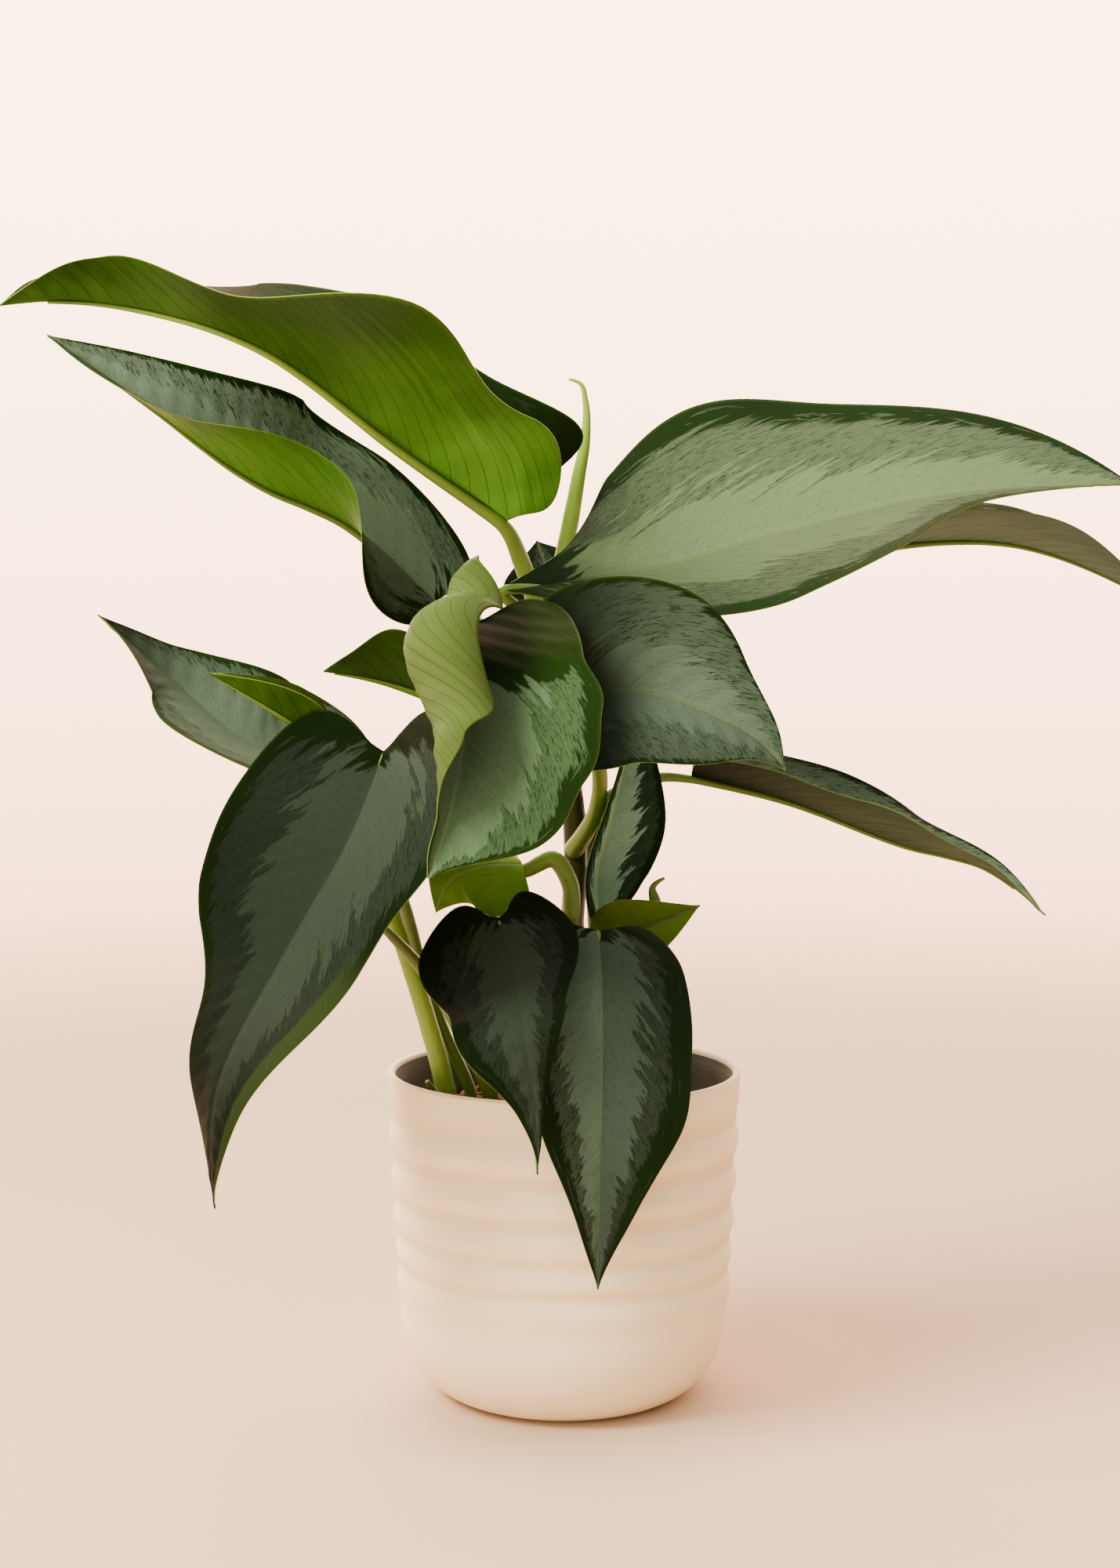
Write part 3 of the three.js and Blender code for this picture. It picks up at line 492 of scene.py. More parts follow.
def tube_surface(points, radii, sides, rings):
    """Places of a tube's rings, and their shares of its length.

    Each ring is a circle square to the curve, whose radius goes evenly from one point's to the next. All
    start from one fixed direction made square to the curve, so they don't twist.
    """
    points = np.asarray(points, float)
    t = np.linspace(0, 1, rings + 1)
    radius = np.interp(t, knots_along(points), radii)
    along = direction(points, t)
    reference = np.eye(3)[np.argmin(np.abs(unit(points[-1] - points[0])))]
    side = unit(np.cross(along, reference))
    other = np.cross(along, side)
    angle = np.linspace(0, 2 * np.pi, sides, endpoint=False)[None, :, None]
    ring = side[:, None] * np.cos(angle) + other[:, None] * np.sin(angle)
    return curve(points, t)[:, None] + ring * radius[:, None, None], t


def closed_rings(surface, ends=None, offset=0):
    """Vertices and faces of rings joined by walls, with a fan round one point at each end.

    The faces are the walls, then the first fan, then the last. The offset is added to their numbers.
    """
    sides = surface.shape[1]
    if ends is None:
        ends = [surface[0].mean(0), surface[-1].mean(0)]
    vertices = np.concatenate([surface.reshape(-1, 3), ends])
    index = offset + np.arange(surface.shape[0] * sides).reshape(-1, sides)
    after = np.roll(index, -1, axis=1)
    walls = np.stack([index[:-1], after[:-1], after[1:], index[1:]], -1).reshape(-1, 4)
    low = np.stack([np.full(sides, offset + index.size), after[0], index[0]], -1)
    high = np.stack([np.full(sides, offset + index.size + 1), index[-1], after[-1]], -1)
    return vertices, walls.tolist() + low.tolist() + high.tolist()


def add_object(name, data):
    """A new object in the scene."""
    made = bpy.data.objects.new(name, data)
    bpy.context.scene.collection.objects.link(made)
    return made


def new_piece(name, vertices, faces, finishes, node, slots=None, attributes=None):
    """Makes a smooth mesh object from arrays in metres, which stands for the node if one is named.

    The slots number each face's finish. An attribute has a number or a vector for each vertex.
    """
    mesh = bpy.data.meshes.new(name)
    mesh.from_pydata(np.asarray(vertices, float).tolist(), [], faces)
    for finish in finishes:
        mesh.materials.append(finish)
    if slots is not None:
        mesh.polygons.foreach_set("material_index", np.asarray(slots, np.int32))
    mesh.polygons.foreach_set("use_smooth", np.ones(len(faces), bool))
    for key, values in (attributes or {}).items():
        values = np.asarray(values, np.float32)
        kind, channel = ("FLOAT_VECTOR", "vector") if values.ndim == 2 else ("FLOAT", "value")
        mesh.attributes.new(key, kind, "POINT").data.foreach_set(channel, values.ravel())
    mesh.update()
    piece = add_object(name, mesh)
    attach(piece, BODY)
    if node:
        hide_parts(node)
    return piece


RIB_ROWS = np.linspace(0, 0.92, 12)
RIB_SHARE = 0.62  # of the stalk's radius, where the rib begins
RIB_LEAST = 0.3  # millimetres that are left of its radius just past the tip
STALK_FOOT = 1.35  # how much wider the stalk is where it grows from its cane


def rib_and_stalk(leaf):
    """Points and radii of a tube that is the stalk and then the rib, in millimetres.

    The rib runs just under the midrib, against the side where the leaf looks, and thins evenly.
    """
    u = row_start(leaf, RIB_ROWS)
    _, normal = midrib_frame(leaf, u)
    radius = leaf.radius * RIB_SHARE * (1 - RIB_ROWS / 1.05) + RIB_LEAST
    radius[0] = leaf.radius * 0.8
    rib = curve(leaf.midrib, u) - normal * (0.95 * radius + 0.3)[:, None]
    radii = np.concatenate([np.full(len(leaf.stalk), leaf.radius), radius])
    radii[0] *= STALK_FOOT
    return np.concatenate([np.asarray(leaf.stalk, float), rib]), radii


ROW_EASE = 0.55  # how much closer the rows are towards base and tip
COLUMN_EASE = 1.25  # radians of the sine that sets the columns closer towards the margins
STALK_SIDES = 16


def blade_mesh(leaf, sizes, rows=110, half_columns=20):
    """Vertices, faces, face slots and flat coordinates of a leaf: its blade, rib and stalk.

    The blade's two faces lie half a thickness each way along the middle surface's normal, which is the
    cross product of its two grid directions, and a strip round the margin joins them.
    """
    even = np.arange(rows + 1) / rows
    row = (ROW_EASE * (0.5 - 0.5 * np.cos(np.pi * even)) + (1 - ROW_EASE) * even)[:, None]
    row = np.clip(row, 1e-5, 1 - 1e-6)
    across = np.linspace(-1, 1, 2 * half_columns + 1) * COLUMN_EASE
    across = np.sin(across) / math.sin(COLUMN_EASE)
    place, flat = leaf_surface(leaf, row + 0 * across, 0 * row + across, sizes)
    normal = unit(np.cross(np.gradient(place, axis=1), np.gradient(place, axis=0)))
    normal[0] = unit(normal[1].mean(0))
    normal[-1] = unit(normal[-2].mean(0))
    thick = sizes.blade_thickness / MM / 2 * (1 - 0.5 * np.abs(across) ** 6)[None, :, None]

    def sheet(places):
        """The rows between base and tip, then the base and the tip, which are one point each."""
        middles = np.stack([places[0, half_columns], places[rows, half_columns]])
        return np.concatenate([places[1:rows].reshape(-1, 3), middles])

    vertices = np.concatenate([sheet(place + thick * normal), sheet(place - thick * normal)])
    count = (rows - 1) * (2 * half_columns + 1)
    base, tip, size = count, count + 1, count + 2
    grid = np.arange(count).reshape(rows - 1, -1)
    quads = np.stack([grid[:-1, :-1], grid[:-1, 1:], grid[1:, 1:], grid[1:, :-1]], -1).reshape(-1, 4)
    first = np.stack([np.full(2 * half_columns, base), grid[0, 1:], grid[0, :-1]], -1)
    last = np.stack([grid[-1, :-1], grid[-1, 1:], np.full(2 * half_columns, tip)], -1)
    upper = [face for part in (quads, first, last) for face in part.tolist()]
    lower = [face for part in (quads, first, last) for face in (part[:, ::-1] + size).tolist()]
    loop = np.concatenate([[base], grid[:, -1], [tip], grid[::-1, 0]])
    after = np.roll(loop, -1)
    rim = np.stack([after, loop, loop + size, after + size], -1).tolist()

    path, radii = rib_and_stalk(leaf)
    tube, _ = tube_surface(path, radii, STALK_SIDES, 8 * (len(path) - 1))
    tube, tube_faces = closed_rings(tube, offset=len(vertices))
    vertices = np.concatenate([vertices, tube]) * MM
    faces = upper + lower + rim + tube_faces
    slots = [0] * len(upper) + [1] * len(lower) + [2] * (len(rim) + len(tube_faces))
    flats = np.concatenate([sheet(flat), sheet(flat), np.zeros((len(tube), 3))])
    return vertices, faces, slots, flats


# Shader values and finishes.


class Value:
    """A shader socket whose sums, products, powers and comparisons add Math nodes to its finish."""

    def __init__(self, finish, socket):
        self.finish = finish
        self.socket = socket

    def math(self, operation, *values):
        """A Math node of this operation on the values."""
        return self.finish.node("ShaderNodeMath", {"operation": operation}, dict(enumerate(values)))

    def __add__(self, other):
        return self.math("ADD", self, other)

    def __sub__(self, other):
        return self.math("SUBTRACT", self, other)

    def __rsub__(self, other):
        return self.math("SUBTRACT", other, self)

    def __mul__(self, other):
        return self.math("MULTIPLY", self, other)

    def __pow__(self, other):
        return self.math("POWER", self, other)

    def __rpow__(self, other):
        return self.math("POWER", other, self)

    def __abs__(self):
        return self.math("ABSOLUTE", self)

    def sine(self):
        return self.math("SINE", self)

    def largest(self, *others):
        """The largest of this value and the others."""
        result = self
        for other in others:
            result = self.math("MAXIMUM", result, other)
        return result

    __radd__ = __add__
    __rmul__ = __mul__


class Finish:
    """A material's or world's node tree and the one method that adds any node to it."""

    def __init__(self, name, owners="materials"):
        self.owner = getattr(bpy.data, owners).new(name)
        self.owner.use_nodes = True
        self.tree = self.owner.node_tree
        self.tree.nodes.clear()

    def node(self, kind, settings=None, inputs=None, output=0):
        """Adds a node, sets it, fills its sockets with numbers or values, and gives one output."""
        made = self.tree.nodes.new(kind)
        for key, setting in (settings or {}).items():
            setattr(made, key, setting)
        for key, given in (inputs or {}).items():
            if isinstance(given, Value):
                self.tree.links.new(given.socket, made.inputs[key])
            else:
                made.inputs[key].default_value = given
        return Value(self, made.outputs[output]) if made.outputs else None

    def mix(self, share, low, high):
        """A colour that goes from low to high as the share goes from 0 to 1."""
        return self.node("ShaderNodeMix", {"data_type": "RGBA"}, {0: share, 6: low, 7: high}, 2)

    def step(self, value, low, high):
        """0 at low and beyond it, 1 at high and beyond it, smooth between them."""
        settings = {"interpolation_type": "SMOOTHSTEP"}
        return self.node("ShaderNodeMapRange", settings, {0: value, 1: low, 2: high, 3: 0.0, 4: 1.0})

    def noise(self, place, scale, detail=2.0, roughness=0.5, distortion=0.0):
        """Noise with this many lumps to a unit of the place."""
        sockets = ("Vector", "Scale", "Detail", "Roughness", "Distortion")
        given = (place, scale, detail, roughness, distortion)
        return self.node("ShaderNodeTexNoise", None, dict(zip(sockets, given)))

    def noise_at(self, x, y, z, detail=3.0, roughness=0.6, distortion=0.0):
        """Noise with one lump to a unit of three numbers, each scaled on its own."""
        place = self.node("ShaderNodeCombineXYZ", None, {0: x, 1: y, 2: z})
        return self.noise(place, 1.0, detail, roughness, distortion)

    def parts(self, vector, *axes):
        """The numbers of a vector along these axes."""
        return [self.node("ShaderNodeSeparateXYZ", None, {0: vector}, axis) for axis in axes]

    def place(self):
        """The point's own place in metres."""
        return self.node("ShaderNodeTexCoord", output=3)

    def attribute(self, name, output):
        """An attribute of the mesh, as a vector from output 1 or a number from output 2."""
        return self.node("ShaderNodeAttribute", {"attribute_name": name}, None, output)

    def surface(self, colour, roughness, gloss, height, distance, strength):
        """Ends the material in one Principled shader with a bump of this height, and gives the material."""
        bump = {"Height": height, "Distance": distance, "Strength": strength}
        normal = self.node("ShaderNodeBump", None, bump)
        sockets = {"Base Color": colour, "Roughness": roughness, "Specular IOR Level": gloss}
        shader = self.node("ShaderNodeBsdfPrincipled", None, {**sockets, "Normal": normal})
        self.node("ShaderNodeOutputMaterial", None, {0: shader})
        return self.owner


RIGHT_SHIFT = 37.0  # moves the noise of the right half away from that of the left half
RIGHT_FROM, RIGHT_WHOLE = 12.0, 25.0  # its values where the left half ends and the right begins
BLADE_RELIEF = 0.0003  # metres
UPPER_VEINS = 11.0  # millimetres from one side vein to the next
LOWER_VEINS = 10.0
FINE_VEINS = 2.1
JAG = 0.015  # half of the share over which one tone of the markings turns into the next


def leaf_coordinates(finish, leaf):
    """Along and out in millimetres, the share from midrib to margin, a number for the half, and the vein.

    The vein coordinate stays the same along a side vein, which leaves the midrib slanting to the tip and
    slants more the further out it is.
    """
    along, out, side = finish.parts(finish.attribute("leaf_flat", 1), 0, 1, 2)
    out = abs(out)
    far = abs(side)
    half = finish.step(side, -0.02, 0.02) * RIGHT_SHIFT
    vein = along - out * (0.7 + far * 0.6) * leaf.slant
    return along, out, far, half, vein


def vein_lines(finish, vein, spacing, width):
    """1 on lines that repeat along the vein coordinate, from the absolute sine of it."""
    return finish.step(abs((vein * (math.pi / spacing)).sine()), width, 0.0)


def change(finish, share, values):
    """A value that goes from the first to the second up to half the share, and then to the third."""
    first, second, third = values
    early = finish.step(share, 0.0, 0.5) * (second - first)
    late = finish.step(share, 0.5, 1.0) * (third - second)
    return early + late + first


def upper_finish(name, leaf, seed):
    """The upper side: jagged silver by the midrib, speckled grey outside it, dark green to the margin, all
    darkened by painted shade.

    The three tones are thresholds of the share from midrib to margin, moved by noise that is stretched
    along the side veins.
    """
    finish = Finish(name + "_upper")
    along, out, far, half, vein = leaf_coordinates(finish, leaf)
    silvers, greys, darks = PALETTES[leaf.palette]
    fine = 115.0 / leaf.width
    flames = finish.noise_at(
        vein * 0.12 * fine + half, out * 0.045 * fine + seed, seed * 0.7, 5.0, distortion=0.25
    )
    streaks = finish.noise_at(vein * 0.45 * fine + half, out * 0.12 * fine + seed, seed * 1.7, 4.0, 0.65)
    clouds = finish.noise_at(along * 0.03, out * 0.03 + half, seed, 2.0, 0.5)
    specks = finish.noise_at(vein * 1.0 + half, out * 0.6, seed, 2.0)
    hairs = finish.noise_at(along * 0.07, far * 26.0 + half, seed)
    mottle = finish.noise_at(vein * 0.5 + half, out * 0.2, seed)
    inner = far - (flames - 0.5) * 1.0 - (streaks - 0.5) * 0.35
    outer = far - (streaks - 0.5) * 0.3 - (flames - 0.5) * 0.3
    silver = finish.step(inner, leaf.silver + JAG, leaf.silver - JAG)
    grey = finish.step(outer, leaf.grey + JAG, leaf.grey - JAG)
    dots = finish.step(specks, 0.57, 0.6) * (1.0 - silver * 0.75)
    hairs = finish.step(hairs, 0.6, 0.64) * finish.step(far, 0.97, 0.93)
    ribs = vein_lines(finish, vein, UPPER_VEINS, 0.1) * finish.step(out, 0.5, 3.0)
    midrib = finish.step(out, 1.1, 0.4) * leaf.midrib_light
    margin = finish.step(far, 0.975, 0.993)

    marking = finish.mix(leaf.dim, BLACK, finish.mix(mottle, *greys))
    marking = finish.mix(silver, marking, finish.mix(clouds, *silvers))
    marking = finish.mix(ribs * 0.12, marking, RIB)
    marking = finish.mix(midrib * 0.6, marking, RIB)
    # Painted shade: the markings keep only a share of their colour on each half, changing from base to tip,
    # partly also the leaf's own darker tone.
    left, right = leaf.light
    light = finish.step(half, RIGHT_FROM, RIGHT_WHOLE) * (right - left) + left
    share = along * (1.0 / midrib_length(leaf))
    marking = finish.mix(light * change(finish, share, leaf.run), BLACK, marking)
    # Painted shade: the dark green keeps only a share of its colour on the shaded leaves.
    colour = finish.mix(leaf.deep, BLACK, finish.mix(clouds, *darks))
    shown = grey.largest(hairs * 0.6, midrib * 0.7) * (1.0 - dots * grey * 0.8)
    shown = shown * finish.step(share + (flames - 0.5) * 0.3, leaf.begin - 0.01, leaf.begin + 0.01)
    colour = finish.mix(shown, colour, marking)
    colour = finish.mix(margin * (0.3 * leaf.deep), colour, MID_GREEN)
    if leaf.rolled:
        first, reach = leaf.rolled
        rolled = finish.step(share, first, first + 0.15) * finish.step(half, RIGHT_WHOLE, RIGHT_FROM)
        rolled = rolled * finish.step(far + clouds * 0.1 + share * 0.08, 1.1 - reach, 1.14 - reach)
        colour = finish.mix(rolled * 0.9, colour, tone(28, 39, 14))
    grain = finish.noise(finish.place(), 900.0)
    relief = grain * 0.5 - ribs * 0.7 - midrib * 1.5 + mottle * 0.6
    roughness = 0.4 + clouds * 0.1 + grain * 0.06
    return finish.surface(colour, roughness, leaf.gloss, relief, BLADE_RELIEF, 0.55)


def lower_finish(name, leaf, seed):
    """The lower side: plain green, with a painted glow where light would come through the silver, painted
    shade along the leaf, and fine dark veins.
    """
    finish = Finish(name + "_lower")
    along, out, far, half, vein = leaf_coordinates(finish, leaf)
    flames = finish.noise_at(vein * 0.13 + half, out * 0.035 + seed, seed * 0.7, 5.0, distortion=0.25)
    # Painted glow: paler where light would come through the silver above.
    shade = finish.step(far - (flames - 0.5) * 1.1, leaf.grey + 0.15, leaf.silver - 0.1)
    clouds = finish.noise_at(along * 0.03, out * 0.02 + half, seed, 2.0, 0.5)
    light = shade * 0.6 + finish.step(clouds, 0.35, 0.65) * 0.4
    colour = finish.mix(light, *UNDERSIDES[leaf.under])
    share = along * (1.0 / midrib_length(leaf))
    # Painted shade: darker along the leaf where its lower side lies in shade.
    colour = finish.mix(change(finish, share, leaf.under_run), BLACK, colour)
    ribs = vein_lines(finish, vein, LOWER_VEINS, 0.12) * finish.step(out, 0.5, 3.0)
    colour = finish.mix(ribs * 0.6, colour, tone(22, 34, 1))
    fine = vein_lines(finish, vein, FINE_VEINS, 0.2)
    colour = finish.mix(fine * 0.12, colour, tone(24, 38, 3))
    margin = finish.step(far, 0.96, 0.99)
    colour = finish.mix(margin * 0.3, colour, tone(70, 90, 20))
    relief = finish.noise(finish.place(), 700.0) * 0.5 + ribs * 1.2 + fine * 0.15
    return finish.surface(colour, 0.45, leaf.under_gloss, relief, BLADE_RELIEF, 0.6)


def stem_finish(name):
    """A stem's skin: streaks along it, fine dark flecks, and a slow change of tone."""
    low, high, dark = (tone(*screen) for screen in STEM_TONES[name])
    finish = Finish(name)
    place = finish.place()
    x, y, z = finish.parts(place, 0, 1, 2)
    streaks = finish.noise_at(x * 420.0, y * 420.0, z * 30.0)
    clouds = finish.noise(place, 24.0)
    flecks = finish.step(finish.noise(place, 620.0), 0.7, 0.74)
    colour = finish.mix(clouds * 0.6 + streaks * 0.4, low, high)
    colour = finish.mix(flecks * 0.5, colour, dark)
    return finish.surface(colour, 0.42, 0.4, streaks, 0.0004, 0.5)


def ceramic_finish(name, low, high):
    """Matt ceramic between two tones: painted shade over each groove, shifted a little up towards the ridge
    above, with brush lines and sparse dark specks.
    """
    finish = Finish(name)
    place = finish.place()
    x, y, z = finish.parts(place, 0, 1, 2)
    brush = finish.noise_at(x * 40.0, y * 40.0, z * 900.0)
    grain = finish.noise(place, 1400.0, 2.0, 0.6)
    spots = finish.node("ShaderNodeTexVoronoi", {"feature": "F1"}, {"Vector": place, "Scale": 62.0})
    chance = finish.noise(place, 23.0, 1.0)
    specks = finish.step(spots, 0.035, 0.02) * finish.step(chance, 0.54, 0.58)
    colour = finish.mix(finish.noise(place, 14.0), low, high)
    # Painted shade of the ripples: a darker tone over each groove, shifted a little up towards the ridge
    # above it.
    colour = finish.mix(finish.attribute("groove", 2) * 0.3, colour, tone(196, 160, 112))
    colour = finish.mix(brush * 0.16, colour, tone(208, 184, 152))
    colour = finish.mix(specks * 0.7, colour, tone(96, 74, 52))
    return finish.surface(colour, 0.68, 0.35, brush * 0.6 + grain * 0.35, 0.00035, 0.5)


def soil_finish(name, low, high):
    """Brown coir and bark: mottled, dull and rough."""
    finish = Finish(name)
    place = finish.place()
    mottle = finish.noise(place, 260.0, 4.0, 0.65)
    clumps = finish.noise(place, 60.0, 3.0, 0.6)
    colour = finish.mix(finish.step(mottle, 0.3, 0.7), low, high)
    colour = finish.mix(clumps * 0.4, colour, tone(24, 15, 10))
    return finish.surface(colour, 0.95, 0.2, mottle + clumps, 0.002, 0.9)


# Sizes that a user would change.


def setting(name, description, default, unit="LENGTH", subtype="NONE"):
    """A number, or three where the default is three, in metres unless another unit is given."""
    kind = bpy.props.FloatVectorProperty if isinstance(default, tuple) else bpy.props.FloatProperty
    return kind(name=name, description=description, default=default, unit=unit, subtype=subtype)


class PlantSizes(bpy.types.PropertyGroup):
    blade_thickness: setting("Blade thickness", "Thickness of a leaf blade", 0.0007)
    vein_spacing: setting("Vein spacing", "Distance between the side veins", 0.011)
    quilting: setting("Quilting", "Height of the swelling between side veins", 0.00022)


class PotSizes(bpy.types.PropertyGroup):
    height: setting("Height", "Height of the pot", 0.1375)
    rim_radius: setting("Rim radius", "Outer radius at the rim", 0.075)
    foot_radius: setting("Foot radius", "Radius of the flat foot", 0.043)
    corner_height: setting("Corner height", "Height where the rounded foot ends", 0.038)
    taper: setting("Taper", "Radius lost per height below the rim", 0.052, "NONE")
    wall: setting("Wall", "Thickness of the wall", 0.0036)
    ripple: setting("Ripple", "Half of the depth of the soft ripples", 0.00085)


class StageSettings(bpy.types.PropertyGroup):
    camera_place: setting("Camera place", "Where the camera stands", (-0.0017, -0.955, 0.320))
    camera_pitch: setting("Camera pitch", "How far it looks down", math.radians(3.69), "ROTATION")
    floor_colour: setting("Floor colour", "Colour of the floor", (0.55, 0.385, 0.245), "NONE", "COLOR")


# Operators.


class PLANT_OT_leaves(bpy.types.Operator):
    """Builds every leaf with its rib and stalk"""

    bl_idname = "plant.leaves"
    bl_label = "Leaves"

    def execute(self, context):
        sizes = context.scene.plant_sizes
        stalks = {look: stem_finish(look + "_stalk") for look in ("green", "pale")}
        for number, (name, leaf) in enumerate(LEAVES.items()):
            vertices, faces, slots, flats = blade_mesh(leaf, sizes)
            seed = 3.1 + 5.3 * number
            upper, lower = upper_finish(name, leaf, seed), lower_finish(name, leaf, seed)
            finishes = [upper, lower, stalks[leaf.stalk_look]]
            new_piece("fine_" + name, vertices, faces, finishes, name, slots, {"leaf_flat": flats})
        return {"FINISHED"}


class PLANT_OT_stems(bpy.types.Operator):
    """Builds the canes, the shoots and the rolled leaves"""

    bl_idname = "plant.stems"
    bl_label = "Stems"

    def execute(self, context):
        finishes = {look: stem_finish(look + "_stem") for look in ("pale", "green", "brown")}
        sides = 28
        angle = np.linspace(0, 2 * np.pi, sides, endpoint=False)
        flute = 1 + 0.02 * np.cos(3 * angle)[None, :, None]
        for name, stem in STEMS.items():
            points = np.array(stem.points, float)
            surface, t = tube_surface(points[:, :3], points[:, 3], sides, 14 * (len(points) - 1))
            centre = surface.mean(1, keepdims=True)
            swell = sum((np.exp(-(((t - at) / 0.006) ** 2)) for at in stem.rings), np.zeros_like(t))
            surface = centre + (surface - centre) * flute * (1 + 0.1 * swell[:, None, None])
            vertices, faces = closed_rings(surface)
            new_piece("fine_" + name, vertices * MM, faces, [finishes[stem.look]], name)
        return {"FINISHED"}


def pot_radius(sizes, z):
    """A straight wall that narrows downwards, and below it a quarter ellipse down to the foot."""
    wall = sizes.rim_radius - sizes.taper * (sizes.height - z)
    top = sizes.rim_radius - sizes.taper * (sizes.height - sizes.corner_height)
    share = np.clip((sizes.corner_height - z) / sizes.corner_height, 0, 1)
    corner = sizes.foot_radius + (top - sizes.foot_radius) * np.sqrt(1 - share**2)
    return np.where(z >= sizes.corner_height, wall, corner)


# Heights of the ridges and the grooves between them in turn, and the plain heights below and above.
RIPPLE_HEIGHTS = (0.0485, 0.0545, 0.061, 0.0675, 0.075, 0.0835, 0.092, 0.101, 0.110, 0.119)
RIPPLES_BEGIN = 0.038
RIPPLES_END = 0.126
FULL_RIPPLE = 0.009  # from ridge to groove, where a ripple has its full depth


def pot_ripple(sizes, z):
    """The ripples: a cosine from each ridge to the next groove, fading out above and below them."""
    heights = np.array([RIPPLES_BEGIN, *RIPPLE_HEIGHTS, RIPPLES_END])
    ridges = np.where(np.arange(len(RIPPLE_HEIGHTS)) % 2 == 0, 1.0, -1.0)
    values = np.concatenate([[0.0], ridges, [0.0]])
    k = np.clip(np.searchsorted(heights, z) - 1, 0, len(heights) - 2)
    gap = heights[k + 1] - heights[k]
    eased = 0.5 - 0.5 * np.cos(np.pi * np.clip((z - heights[k]) / gap, 0, 1))
    height = np.minimum(gap, FULL_RIPPLE) / FULL_RIPPLE
    return sizes.ripple * height * (values[k] * (1 - eased) + values[k + 1] * eased)


POT_SEGMENTS = 240
LIP_RADIUS = 0.0016
MOUTH_DROP = 0.002  # from the top of the lip to the first ring of the inside
INSIDE_FOOT = 0.02  # height of its last ring
POT_FLOOR = 0.012  # height of the middle of the floor inside
GROOVE_SHADE_SHIFT = 0.0012  # how much lower than its painted shade a groove lies


class PLANT_OT_pot(bpy.types.Operator):
    """Turns the rippled pot"""

    bl_idname = "plant.pot"
    bl_label = "Pot"

    def execute(self, context):
        sizes = context.scene.pot_sizes
        angle = np.linspace(0, 2 * np.pi, POT_SEGMENTS, endpoint=False)[None, :]
        shoulder = sizes.height - LIP_RADIUS
        low = sizes.corner_height * (1 - np.cos(np.linspace(0, 1, 26) * np.pi / 2))
        z = np.concatenate([low, np.linspace(sizes.corner_height, shoulder, 130)[1:]])
        sway = 0.0012 * np.sin(angle + 0.6) + 0.0008 * np.sin(2 * angle + 2.1)
        level = z[:, None] + sway
        radius = pot_radius(sizes, z)[:, None] + pot_ripple(sizes, level)
        # Share of painted shade at each point, taken from the groove's depth a little lower down.
        groove = np.clip(-pot_ripple(sizes, level - GROOVE_SHADE_SHIFT) / sizes.ripple, 0, 1)

        lip = np.linspace(0, np.pi, 14)[1:-1]
        mouth = sizes.rim_radius - LIP_RADIUS
        inner_z = np.linspace(sizes.height - MOUTH_DROP, INSIDE_FOOT, 30)
        inner = pot_radius(sizes, inner_z) - sizes.wall - 0.0004
        inner[0] = mouth - LIP_RADIUS
        turned = np.concatenate([mouth + LIP_RADIUS * np.cos(lip), inner])[:, None] + 0 * angle
        radius = np.concatenate([radius, turned])
        heights = np.concatenate([z, shoulder + LIP_RADIUS * np.sin(lip), inner_z])[:, None]
        surface = np.stack([radius * np.cos(angle), radius * np.sin(angle), heights + 0 * radius], -1)
        vertices, faces = closed_rings(surface, [(0, 0, 0), (0, 0, POT_FLOOR)])

        outer = len(z) + len(lip)
        slots = np.repeat([0, 1, 0, 1], np.array([outer, len(heights) - 1 - outer, 1, 1]) * POT_SEGMENTS)
        outside = ceramic_finish("matt_cream_ceramic", *pair((246, 223, 180), (251, 230, 190)))
        inside = ceramic_finish("bare_ceramic", *pair((44, 47, 38), (52, 55, 45)))
        grooves = {"groove": np.concatenate([groove.ravel(), np.zeros(len(vertices) - groove.size)])}
        new_piece("rippled_pot", vertices, faces, [outside, inside], "pot", slots, grooves)
        return {"FINISHED"}


SOIL_TOP = 117  # millimetres
SOIL_RADIUS = 0.0686
SOIL_BOTTOM = 0.09  # height of its flat underside, hidden in the pot
CRUMBS = 900
CRUMB_REACH = 0.066  # radius of the disc that they lie on
CRUMB_LEAST, CRUMB_MORE = 0.0007, 0.0016  # smallest half size, and what chance adds to it
CRUMB_FACES = [(0, 2, 3, 1), (4, 5, 7, 6), (0, 1, 5, 4), (2, 6, 7, 3), (0, 4, 6, 2), (1, 3, 7, 5)]


def soil_height(x, y):
    """The soil's height: slow lumps as sums of sines, with finer and finer ones added."""
    x, y = np.asarray(x) / MM, np.asarray(y) / MM
    lumps = np.sin(0.31 * x + 1.2) * np.cos(0.27 * y) + 0.6 * np.sin(0.57 * x + 0.49 * y + 2)
    fine = np.sin(1.3 * x + 0.8 * y) * np.sin(0.7 * x - 1.5 * y + 1)
    fine = fine + 0.6 * np.sin(2.3 * x + 1) * np.sin(2.6 * y)
    return MM * (SOIL_TOP + 1.2 * lumps + 0.35 * fine)


def turn_pair(first, second, angle):
    """Two coordinates turned about the third axis, by one angle for each row."""
    cosine, sine = np.cos(angle)[:, None], np.sin(angle)[:, None]
    return first * cosine - second * sine, first * sine + second * cosine


